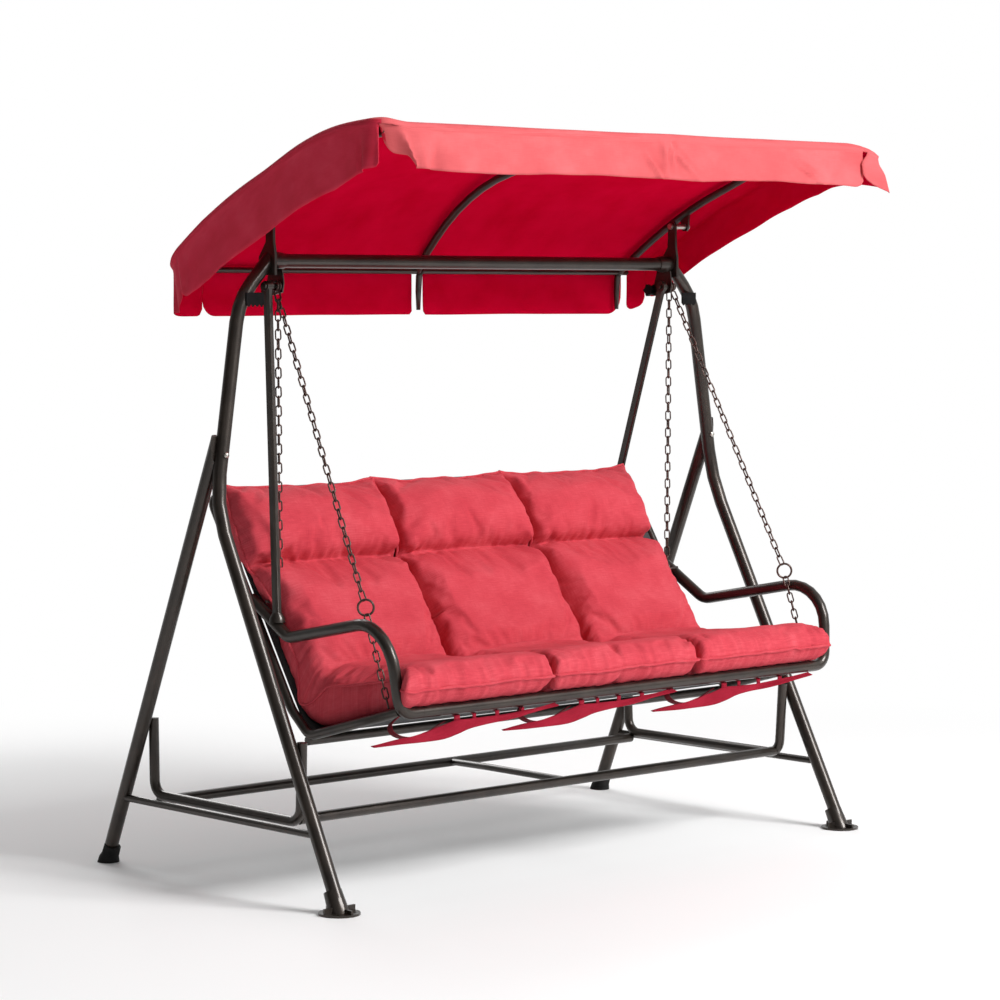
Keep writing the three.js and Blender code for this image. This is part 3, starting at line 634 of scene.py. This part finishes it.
def rib_tails():
    tails = Build()
    for x in TAIL_XS:
        tails.tube([place(x, y, z) for y, z, _ in TAIL_LINE], [radius for _, _, radius in TAIL_LINE], 12)
    tails.object("rib_tails", FRAME_PAINT, "canopy")


# Cloth further out than SIDE_FROM whose normal has more X than SIDEWAYS gets a darker, deeper red copy of
# the canvas: painted shade on the side valances.
SIDE_FROM, SIDEWAYS = 0.87, 0.55


def canopy():
    build = Build()
    canopy_top(build)
    canopy_valances(build)
    rib_tails()
    cover = build.object("canopy_cloth", CANVAS, "canopy")
    for material in (CANVAS_INSIDE_SHADED, CANVAS_SIDE_SHADED, CANVAS_INSIDE_SHADED):
        cover.data.materials.append(material)
    # Painted shade: faces of the side valances get the darker copy of the canvas.
    for face in cover.data.polygons:
        if abs(face.normal.x) > SIDEWAYS and abs(face.center.x) > SIDE_FROM:
            face.material_index = 2
    weld = cover.modifiers.new("weld", "WELD")
    weld.merge_threshold = 1e-4
    thicken(cover, CLOTH_THICKNESS, inside=True)
    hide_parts("canopy_cover")


canopy()

# ------------------------------------------------------------------ cushions
# One station each from the front welt to the top welt: the front face's (y, z) and the back face's.
CUSHION_STATIONS = (
    ((-0.632, 0.562), (-0.632, 0.562)),
    ((-0.633, 0.589), (-0.622, 0.536)),
    ((-0.610, 0.609), (-0.588, 0.517)),
    ((-0.560, 0.613), (-0.520, 0.504)),
    ((-0.490, 0.594), (-0.460, 0.487)),
    ((-0.420, 0.582), (-0.390, 0.470)),
    ((-0.330, 0.570), (-0.310, 0.448)),
    ((-0.245, 0.568), (-0.200, 0.428)),
    ((-0.208, 0.588), (-0.146, 0.460)),
    ((-0.178, 0.632), (-0.108, 0.524)),
    ((-0.122, 0.705), (-0.032, 0.643)),
    ((-0.066, 0.780), (0.020, 0.724)),
    ((-0.022, 0.828), (0.042, 0.772)),
    ((0.044, 0.840), (0.062, 0.812)),
    ((0.004, 0.872), (0.088, 0.846)),
    ((0.030, 0.930), (0.122, 0.888)),
    ((0.084, 0.992), (0.166, 0.960)),
    ((0.132, 1.028), (0.190, 0.998)),
    ((0.184, 1.036), (0.184, 1.036)),
)
# Where the three cushions' side seams run at each station: outer left, two gaps, outer right.
CUSHION_SEAMS = (
    (-0.826, -0.306, 0.243, 0.774),
    (-0.828, -0.306, 0.243, 0.778),
    (-0.812, -0.304, 0.243, 0.776),
    (-0.780, -0.300, 0.242, 0.760),
    (-0.768, -0.294, 0.240, 0.750),
    (-0.768, -0.290, 0.238, 0.738),
    (-0.768, -0.288, 0.237, 0.728),
    (-0.770, -0.287, 0.236, 0.714),
    (-0.774, -0.286, 0.236, 0.706),
    (-0.774, -0.284, 0.237, 0.702),
    (-0.774, -0.279, 0.240, 0.702),
    (-0.776, -0.281, 0.239, 0.704),
    (-0.786, -0.280, 0.238, 0.706),
    (-0.790, -0.277, 0.236, 0.700),
    (-0.806, -0.276, 0.234, 0.704),
    (-0.806, -0.272, 0.232, 0.706),
    (-0.796, -0.262, 0.234, 0.718),
    (-0.776, -0.252, 0.240, 0.732),
    (-0.764, -0.247, 0.244, 0.740),
)
FOLD_STATION, CREASE_STATION = 8, 13  # where seat meets back, and where back meets head roll
CUSHION_GAP = 0.0075  # half the space between two cushions' side seams
CUSHION_CELL = 0.009
CUSHION_COLUMNS = 54
STEPS_PER_STATION = 8
PUFF_LIMIT, ROLL_PUFF = 0.024, 0.009
# Small stitched pinches: cushion, X, distance along it, depth, and their half sizes.
PINCHES = ((1, -0.052, 0.045, 0.014, 0.010, 0.030), (1, -0.262, 0.640, 0.010, 0.030, 0.006),
           (0, -0.700, 0.870, 0.009, 0.016, 0.012), (2, 0.300, 0.060, 0.009, 0.010, 0.024))


class CushionLine:
    """The cushion's faces and side seams along its length, at any distance from the front welt."""

    def __init__(self):
        rows = np.array([(*front, *back, *seams)
                         for (front, back), seams in zip(CUSHION_STATIONS, CUSHION_SEAMS)])
        self.fine = catmull(rows, STEPS_PER_STATION)
        middle = (self.fine[:, 0:2] + self.fine[:, 2:4]) / 2
        steps = np.linalg.norm(np.diff(middle, axis=0), axis=1)
        self.run = np.concatenate([[0], np.cumsum(steps)])
        self.length = float(self.run[-1])
        self.fold, self.crease = (float(self.run[station * STEPS_PER_STATION])
                                  for station in (FOLD_STATION, CREASE_STATION))

    def at(self, distance):
        return [float(np.interp(distance, self.run, self.fine[:, k])) for k in range(8)]

    def sides(self, distance, number):
        """The X of the side seams of cushion 0, 1 or 2."""
        seams = self.at(distance)[4:]
        left = seams[number] + (CUSHION_GAP if number else 0)
        right = seams[number + 1] - (CUSHION_GAP if number < 2 else 0)
        return left, right


LINE = CushionLine()


def opened(distance, zone, power=2.3):
    """How far a face has come away from the side seam, from 0 at the seam to 1."""
    share = min(1.0, max(0.0, distance / zone))
    return (1 - (1 - share) ** power) ** (1 / power)


def cushion_points(number, seed, row_at, share):
    """Front and back point of a cushion at a distance along it and a share from -1 to 1 across."""
    left, right = LINE.sides(row_at, number)
    x = (left + right) / 2 + share * (right - left) / 2
    wander = 0.007 * ripple(x * 8, 0.3, seed) * bell(row_at, LINE.crease, 0.05)
    fy, fz, by, bz = LINE.at(row_at + wander)[:4]
    on_seat = float(smooth_step(row_at, 0.03, 0.11)) * float(smooth_step(LINE.fold - row_at, 0.01, 0.09))
    seam = 0.5 - 0.32 * on_seat + 0.36 * bell(row_at, LINE.fold + 0.012, 0.040)
    my, mz = fy + (by - fy) * seam, fz + (bz - fz) * seam
    edge = (1 - abs(share)) * (right - left) / 2
    roll = bell(row_at, 0.03, 0.11)
    front, back = opened(edge, 0.038 - 0.014 * roll, 2.5 + roll), opened(edge, 0.030 - 0.008 * roll)
    at_seam = 1 - opened(edge, 0.030)
    to_top, to_front = bell(row_at, LINE.length, 0.030), bell(row_at, 0, 0.020)
    x += math.copysign(1, share) * 0.010 * to_top * abs(share) ** 8
    x += 0.003 * at_seam * ripple(row_at * 22, 0.5, seed + 1)
    ears = 0.010 * abs(share) ** 6 - 0.004 * (1 - share ** 2)
    lift = to_top * (ears + 0.0055 * ripple(x * 17, 1, seed + 2))
    lift += to_front * (0.004 * ripple(x * 14, 2, seed + 3) + 0.003 * ripple(x * 41, 2, seed + 5))
    lean = 0.003 * at_seam * ripple(row_at * 30, 0.7, seed + 4)
    return (place(x, my + (fy - my) * front + lean, mz + (fz - mz) * front + lift),
            place(x, my + (by - my) * back + lean, mz + (bz - mz) * back + lift))


def cushion_mesh(name, number, seed):
    """The cushion before it is blown up, the vertices round its welt, and those that stay put."""
    count = round(LINE.length / CUSHION_CELL)
    columns = CUSHION_COLUMNS
    build = Build()
    front_index, back_index = {}, {}
    for r in range(count + 1):
        row_at = LINE.length * r / count
        for c in range(columns + 1):
            share = 2 * c / columns - 1
            front, back = cushion_points(number, seed, row_at, share)
            cloth = [(front.x, row_at, 0)]
            front_index[r, c] = build.add([front], [], cloth)
            on_rim = c in (0, columns) or r in (0, count)
            back_index[r, c] = front_index[r, c] if on_rim else build.add([back], [], cloth)
    for r in range(count):
        for c in range(columns):
            for index, turn in ((front_index, 1), (back_index, -1)):
                face = (index[r, c], index[r, c + 1], index[r + 1, c + 1], index[r + 1, c])
                build.faces.append(face[::turn])
    cushion = build.object(name, LINEN, "seat")
    rim_ids = [front_index[r, 0] for r in range(count + 1)]
    rim_ids += [front_index[count, c] for c in range(1, columns + 1)]
    rim_ids += [front_index[r, columns] for r in range(count - 1, -1, -1)]
    rim_ids += [front_index[0, c] for c in range(columns - 1, 0, -1)]
    held = set(rim_ids) | set(back_index.values())
    for seam in (LINE.fold, LINE.crease):
        held |= {front_index[round(seam / LINE.length * count), c] for c in range(columns + 1)}
    around = set(zip(rim_ids, rim_ids[1:] + rim_ids[:1]))
    sharp = cushion.data.attributes.new("crease_edge", "FLOAT", "EDGE")
    for edge in cushion.data.edges:
        a, b = edge.vertices
        sharp.data[edge.index].value = 1.0 if (a, b) in around or (b, a) in around else 0.0
    return cushion, rim_ids, sorted(held)


def inflate(obj, held, frames=20, pressure=3.0, spare=-0.045):
    """Blows the cloth up between the points that are held, and keeps the result."""
    pins = obj.vertex_groups.new(name="held")
    pins.add(held, 1.0, "REPLACE")
    cloth = obj.modifiers.new("inflate", "CLOTH")
    settings = cloth.settings
    settings.quality = 5
    settings.mass = 0.25
    settings.tension_stiffness = 18
    settings.compression_stiffness = 18
    settings.shear_stiffness = 6
    settings.bending_stiffness = 0.4
    settings.use_pressure = True
    settings.uniform_pressure_force = pressure
    settings.shrink_min = spare
    settings.vertex_group_mass = "held"
    settings.effector_weights.gravity = 0
    cloth.collision_settings.use_collision = False
    cloth.point_cache.frame_end = frames
    scene = bpy.context.scene
    for step in range(1, frames + 1):
        scene.frame_set(step)
    moved = obj.evaluated_get(bpy.context.evaluated_depsgraph_get())
    count = len(obj.data.vertices)
    after = np.zeros(count * 3, np.float32)
    moved.data.vertices.foreach_get("co", after)
    before = np.zeros(count * 3, np.float32)
    obj.data.vertices.foreach_get("co", before)
    shift = (after - before).reshape(-1, 3)
    length = np.linalg.norm(shift, axis=1, keepdims=True)
    along = np.zeros(count * 3, np.float32)
    obj.data.attributes["cloth"].data.foreach_get("vector", along)
    limit = PUFF_LIMIT - (PUFF_LIMIT - ROLL_PUFF) * np.exp(-((along[1::3] - 0.03) / 0.12) ** 2)
    shift *= np.minimum(1, limit[:, None] / np.maximum(length, 1e-9))
    obj.modifiers.remove(cloth)
    obj.vertex_groups.clear()
    obj.data.vertices.foreach_set("co", (before.reshape(-1, 3) + shift).ravel())
    obj.data.update()
    scene.frame_set(1)


def crumple(obj, number, seed):
    """Subdivides the cushion once, then adds gathers along its seams and soft dents between them."""
    smooth = obj.modifiers.new("smooth", "SUBSURF")
    smooth.levels = smooth.render_levels = 1
    finer = bpy.data.meshes.new_from_object(obj.evaluated_get(bpy.context.evaluated_depsgraph_get()))
    obj.modifiers.remove(smooth)
    coarse, obj.data = obj.data, finer
    bpy.data.meshes.remove(coarse)
    finer.shade_smooth()
    count = len(finer.vertices)
    cloth = np.zeros(count * 3, np.float32)
    finer.attributes["cloth"].data.foreach_get("vector", cloth)
    points = np.zeros(count * 3, np.float32)
    finer.vertices.foreach_get("co", points)
    normals = np.zeros(count * 3, np.float32)
    finer.vertices.foreach_get("normal", normals)
    cloth, points, normals = (a.reshape(-1, 3) for a in (cloth, points, normals))
    height = np.zeros((count, 1), np.float32)
    for i, (x, s, _) in enumerate(cloth.tolist()):
        left, right = LINE.sides(s, number)
        edge = max(0.0, min(x - left, right - x))
        side = bell(edge, 0.004, 0.026)
        roll = side * bell(s, 0.03, 0.07)
        crease = bell(s, LINE.crease, 0.030)
        top, front = bell(s, LINE.length, 0.034), bell(s, 0.012, 0.030)
        bump = 0.0036 * side * ripple(s * 58, x * 9, seed)
        bump += 0.0080 * roll * ripple(s * 80, x * 12, seed + 1)
        bump += 0.0055 * crease * ripple(x * 52, s * 9, seed + 2)
        bump += 0.0034 * top * ripple(x * 46, s * 8, seed + 3)
        bump += 0.0046 * front * ripple(x * 55, s * 10, seed + 4)
        bump += 0.0018 * ripple(x * 9, s * 8, seed + 5) + 0.0012 * ripple(x * 27, s * 23, seed + 6)
        for which, px, ps, depth, wide, tall in PINCHES:
            if which == number:
                bump -= depth * bell(x, px, wide) * bell(s, ps, tall)
        height[i] = bump * min(1.0, edge / 0.006 + 0.35)
    finer.vertices.foreach_set("co", (points + normals * height).ravel())
    finer.update()


WELT_RADIUS = 0.0040


def cushion(name, number, seed):
    """One padded piece with a piped welt round it."""
    pad, rim_ids, held = cushion_mesh("pad_" + name, number, seed)
    inflate(pad, held)
    path = [pad.data.vertices[i].co.copy() for i in rim_ids]
    crumple(pad, number, seed)
    welt = Build()
    welt.tube(path, WELT_RADIUS, 8, closed=True)
    welt.object("welt_" + name, LINEN, "seat")
    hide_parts("cushion_" + name)


for number, name in enumerate(("left", "middle", "right")):
    cushion(name, number, 11.3 * (number + 1))

# ------------------------------------------------------------------ chains
LINK_LENGTH, LINK_WIDTH, LINK_WIRE = 0.034, 0.019, 0.0022
LINK_PITCH = LINK_LENGTH - 4 * LINK_WIRE


def link_path(centre, along, across):
    """The centreline of one oval link."""
    bend = LINK_WIDTH / 2 - LINK_WIRE
    straight = LINK_LENGTH / 2 - LINK_WIDTH / 2
    points = []
    for k in range(14):
        angle = 2 * math.pi * (k + 0.5) / 14
        reach = bend * math.cos(angle) + math.copysign(straight, math.cos(angle))
        points.append(centre + along * reach + across * bend * math.sin(angle))
    return points


def chain_run(build, start, end, turn):
    """Links from `start` to `end`, each a quarter turn from the last."""
    start, end = Vector(start), Vector(end)
    span = end - start
    count = max(1, round(span.length / LINK_PITCH))
    along = span.normalized()
    flat = Vector((1, 0, 0))
    flat = (flat - along * flat.dot(along)).normalized()
    other = along.cross(flat)
    for i in range(count):
        centre = start + span * (i + 0.5) / count
        angle = math.radians(turn + 90 * (i % 2) + 14 * ripple(i * 1.7, turn))
        across = flat * math.cos(angle) + other * math.sin(angle)
        build.tube(link_path(centre, along, across), LINK_WIRE, 6, closed=True)


def round_ring(build, centre, radius, wire, normal=(1, 0, 0), count=28):
    centre, normal = Vector(centre), Vector(normal).normalized()
    a = normal.orthogonal().normalized()
    b = normal.cross(a)
    turns = [2 * math.pi * k / count for k in range(count)]
    path = [centre + (a * math.cos(turn) + b * math.sin(turn)) * radius for turn in turns]
    build.tube(path, wire, 8, closed=True)


PIN = (-0.018, 1.583)  # Y and Z of the pins that the chains hang from
CHAIN_RING = (0.793, -0.438, 0.761)
REAR_EYE = (0.737, -0.016, 0.757)  # the rear chain's lower end
RING_RADIUS, RING_WIRE = 0.0205, 0.0030
TO_FRONT_LEFT = (-0.68, -0.73, 0)


def chains(letter, side):
    """The front chain with its ring above the armrest, and the rear chain with its eye and pin."""
    front = Build()
    round_ring(front, place(side * 0.7495, *PIN), 0.0118, 0.0034)
    x, y, z = CHAIN_RING
    chain_run(front, place(side * 0.7505, PIN[0] - 0.006, PIN[1] - 0.014),
              place(side * x, y + 0.009, z + RING_RADIUS - 0.002), 20)
    round_ring(front, place(side * x, y, z), RING_RADIUS, RING_WIRE, TO_FRONT_LEFT)
    chain_run(front, place(side * x, y - 0.004, z - RING_RADIUS + 0.002),
              place(side * 0.791, -0.524, 0.512), 40)
    obj = front.object("chain_front_" + letter, CHAIN_PAINT, "seat")
    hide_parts("front_chain_" + letter)
    rear = Build()
    round_ring(rear, place(side * 0.7405, *PIN), 0.0118, 0.0034)
    x, y, z = REAR_EYE
    chain_run(rear, place(side * 0.741, PIN[0], PIN[1] - 0.015), place(side * x, y, z), 30)
    round_ring(rear, place(side * x, y, z - 0.009), 0.010, 0.0032, (1, 0, 0), 20)
    rear.tube([place(side * 0.784, -0.014, 0.745), place(side * 0.734, y, 0.741)], 0.0038, 10)
    obj = rear.object("chain_rear_" + letter, CHAIN_PAINT, "seat")
    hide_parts("rear_chain_" + letter)


for letter, side in SIDES:
    chains(letter, side)

# ------------------------------------------------------------------ sling
SLING_HALF, SLING_LIFT, SLING_SAG = 0.774, 0.0078, 0.004
SLING_LINE = ((-0.556, 0.5007), (-0.380, 0.4527), (-0.2185, 0.4086), (-0.205, 0.4062), (-0.186, 0.411),
              (-0.170, 0.423), (-0.152, 0.4376), (-0.130, 0.468), (0.010, 0.688), (0.196, 0.980))


def sling():
    """A slack sheet that lies on the side tubes, from the front rail to the top rail."""
    line, run = resample(catmull(SLING_LINE, 8), 0.012)
    heading = np.gradient(line, axis=0)
    heading /= np.linalg.norm(heading, axis=1, keepdims=True)
    normal = np.stack([-heading[:, 1], heading[:, 0]], axis=1)
    build = Build()
    rows, coords = [], []
    for (y, z), (ny, nz), s in zip(line, normal, run):
        row, row_coords = [], []
        for x in np.linspace(-SLING_HALF, SLING_HALF, 61):
            sag = SLING_SAG * math.sin(math.pi * (x + SLING_HALF) / (2 * SLING_HALF)) ** 0.7
            lift = SLING_LIFT - sag
            row.append(place(x, y + ny * lift, z + nz * lift))
            row_coords.append((x, s, 0))
        rows.append(row)
        coords.append(row_coords)
    build.grid(rows, coords)
    sheet = build.object("sling_sheet", SLING_MESH, "seat")
    thicken(sheet, CLOTH_THICKNESS)
    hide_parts("sling")


sling()

# ------------------------------------------------------------------ ties under the front rail
RAIL_Y, RAIL_UNDERSIDE = -0.585, 0.485
# A tie's outline along the rail, measured from its pointed end: distance, top and bottom height.
TIE_OUTLINE = ((0.000, 0.431, 0.429), (0.085, 0.439, 0.427), (0.150, 0.445, 0.426), (0.235, 0.459, 0.428),
               (0.286, 0.470, 0.436), (0.340, 0.470, 0.448), (0.450, 0.470, 0.457), (0.565, 0.477, 0.469),
               (0.640, 0.484, 0.478))
# The open loop in front of it: distance and height of its middle line.
TIE_LOOP = ((0.096, 0.492), (0.072, 0.474), (0.084, 0.452), (0.130, 0.438), (0.190, 0.446), (0.250, 0.468))
TIE_TABS = ((0.292, 0.020), (0.352, 0.012), (0.432, 0.014), (0.520, 0.016))  # distance and width
TAB_REACH = 0.0185  # from the front rail's axis to the tabs that go behind it


def tie_flap(name, tip_x, outline):
    """The pointed flap that hangs under the rail."""
    build = Build()
    rows, coords = [], []
    for along, top, bottom in outline:
        row, row_coords = [], []
        for w in range(9):
            share = w / 8
            y = RAIL_Y - 0.012 * share - 0.004 + 0.007 * ripple(along * 11, share * 1.5, tip_x)
            row.append(place(tip_x + along, y, top + (bottom - top) * share))
            row_coords.append((along, share * 0.05, 0))
        rows.append(row)
        coords.append(row_coords)
    build.grid(rows, coords)
    flap = build.object("tie_flap_" + name, STRAP_CLOTH, "seat")
    thicken(flap, CLOTH_THICKNESS)
    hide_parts("strap_" + name)


def tie_loop(name, tip_x):
    """The open loop in front of the flap."""
    build = Build()
    loop, run = resample(catmull(TIE_LOOP, 8), 0.006)
    rows, coords = [], []
    for w in range(5):
        share = w / 4 - 0.5
        y = RAIL_Y + 0.006 + 0.022 * share
        rows.append([place(tip_x + along + 0.004 * share, y, height - 0.008 * share)
                     for along, height in loop])
        coords.append([(s, share * 0.024, 0) for s in run])
    build.grid(rows, coords)
    band = build.object("tie_loop_" + name, STRAP_DARK, "seat")
    thicken(band, CLOTH_THICKNESS)


def tie_tabs(name, tip_x, outline):
    """The tabs that go from the flap up behind the rail."""
    build = Build()
    for along, wide in TIE_TABS:
        flap_top = float(np.interp(along, outline[:, 0], outline[:, 1]))
        low = place(tip_x + along, RAIL_Y - 0.002, flap_top - 0.006)
        middle = place(tip_x + along, RAIL_Y, RAIL_UNDERSIDE + 0.016)
        line = [low]
        for k in range(9):
            turn = math.radians(-96 + 14 * k)
            line.append(middle + Vector((0, math.cos(turn), math.sin(turn))) * TAB_REACH)
        half = Vector((wide / 2, 0, 0))
        build.grid([[point - half, point + half] for point in line],
                   [[(0, k * 0.008, 0), (wide, k * 0.008, 0)] for k in range(len(line))])
    tabs = build.object("tie_tabs_" + name, STRAP_CLOTH, "seat")
    thicken(tabs, CLOTH_THICKNESS)


def tie(name, tip_x):
    outline, _ = resample(catmull(TIE_OUTLINE, 6), 0.010)
    tie_flap(name, tip_x, outline)
    tie_loop(name, tip_x)
    tie_tabs(name, tip_x, outline)


for name, tip_x in (("left", -0.905), ("middle", -0.460), ("right", 0.092)):
    tie(name, tip_x)

# ------------------------------------------------------------------ stage, light and camera
FLOOR_HALF = 30.0
FLOOR_LIT, FLOOR_PLAIN = 1.9, 3.6  # distance from the middle where the shaded floor starts and ends


def floor_material():
    """White paper: shaded near the swing, plain bright white further out."""
    s = Shader("floor_paper", roughness=0.9, specular=0.1)
    where = s.coordinates()
    distance = s.add("VectorMath", operation="LENGTH")
    s.link(where, distance.inputs[0])
    share = s.add("MapRange", interpolation_type="SMOOTHSTEP")
    share.inputs["From Min"].default_value = FLOOR_LIT
    share.inputs["From Max"].default_value = FLOOR_PLAIN
    s.link(distance.outputs["Value"], share.inputs["Value"])
    grain = s.noise(where, 300, 2)
    s.surface.inputs["Base Color"].default_value = (0.92, 0.92, 0.92, 1)
    s.link(s.bump(grain, 0.05, 0.001), s.surface.inputs["Normal"])
    plain = s.add("Emission", strength=1.0)
    mix = s.add("MixShader")
    seen = s.add("LightPath").outputs["Is Camera Ray"]
    s.link(s.math("MULTIPLY", share.outputs["Result"], seen), mix.inputs["Fac"])
    s.link(s.surface.outputs["BSDF"], mix.inputs[1])
    s.link(plain.outputs["Emission"], mix.inputs[2])
    s.link(mix.outputs["Shader"], s.nodes["Material Output"].inputs["Surface"])
    return s.material


def studio_floor():
    corners = [(x, y, 0) for x, y in ((-1, -1), (1, -1), (1, 1), (-1, 1))]
    mesh = bpy.data.meshes.new("floor")
    mesh.from_pydata([Vector(corner) * FLOOR_HALF for corner in corners], [], [(0, 1, 2, 3)])
    mesh.materials.append(floor_material())
    floor = bpy.data.objects.new("floor", mesh)
    bpy.context.scene.collection.objects.link(floor)


studio_floor()

SHADE_SIDE, LIGHT_SIDE = 0.05, 0.62  # the surroundings' brightness towards -X and +X


def studio_world():
    """White to the camera. As light, it is dim towards -X and bright towards +X."""
    world = bpy.data.worlds.new("studio")
    world.use_nodes = True
    nodes, links = world.node_tree.nodes, world.node_tree.links
    lit = nodes["Background"]
    lit.inputs["Color"].default_value = (1, 1, 1, 1)
    direction = nodes.new("ShaderNodeTexCoord")
    split = nodes.new("ShaderNodeSeparateXYZ")
    shade = nodes.new("ShaderNodeMapRange")
    ends = {"From Min": -0.9, "From Max": 0.2, "To Min": SHADE_SIDE, "To Max": LIGHT_SIDE}
    for socket, value in ends.items():
        shade.inputs[socket].default_value = value
    links.new(direction.outputs["Generated"], split.inputs["Vector"])
    links.new(split.outputs["X"], shade.inputs["Value"])
    links.new(shade.outputs["Result"], lit.inputs["Strength"])
    seen = nodes.new("ShaderNodeBackground")
    seen.inputs["Color"].default_value = (1, 1, 1, 1)
    mix = nodes.new("ShaderNodeMixShader")
    rays = nodes.new("ShaderNodeLightPath")
    links.new(rays.outputs["Is Camera Ray"], mix.inputs["Fac"])
    links.new(lit.outputs["Background"], mix.inputs[1])
    links.new(seen.outputs["Background"], mix.inputs[2])
    links.new(mix.outputs["Shader"], nodes["World Output"].inputs["Surface"])
    bpy.context.scene.world = world


studio_world()


def area_light(name, location, target, size, power):
    data = bpy.data.lights.new(name, "AREA")
    data.size = size
    data.energy = power
    lamp = bpy.data.objects.new(name, data)
    lamp.location = location
    lamp.rotation_euler = (Vector(target) - Vector(location)).to_track_quat("-Z", "Y").to_euler()
    bpy.context.scene.collection.objects.link(lamp)


area_light("key", (2.2, -6.2, 5.2), (0, 0, 1.0), 3.0, 640)
area_light("fill", (-5.5, -3.0, 1.6), (0, 0, 0.9), 3.0, 5)
area_light("back", (1.5, 5.5, 3.8), (0, 0, 1.0), 3.0, 120)

CAMERA_PLACE = (-5.963, -6.577, 1.563)
CAMERA_AZIMUTH, CAMERA_ELEVATION = math.radians(-42.556), math.radians(3.753)
CAMERA_LENS = 113.26


def studio_camera():
    data = bpy.data.cameras.new("camera")
    data.lens = CAMERA_LENS
    data.sensor_width = 36
    camera = bpy.data.objects.new("camera", data)
    camera.location = place(*CAMERA_PLACE)
    level = math.cos(CAMERA_ELEVATION)
    back = Vector((math.sin(CAMERA_AZIMUTH) * level, -math.cos(CAMERA_AZIMUTH) * level,
                   math.sin(CAMERA_ELEVATION)))
    camera.rotation_mode = "QUATERNION"
    camera.rotation_quaternion = (-back).to_track_quat("-Z", "Y")
    bpy.context.scene.collection.objects.link(camera)
    bpy.context.scene.camera = camera


studio_camera()
bpy.context.scene.view_settings.view_transform = "Standard"
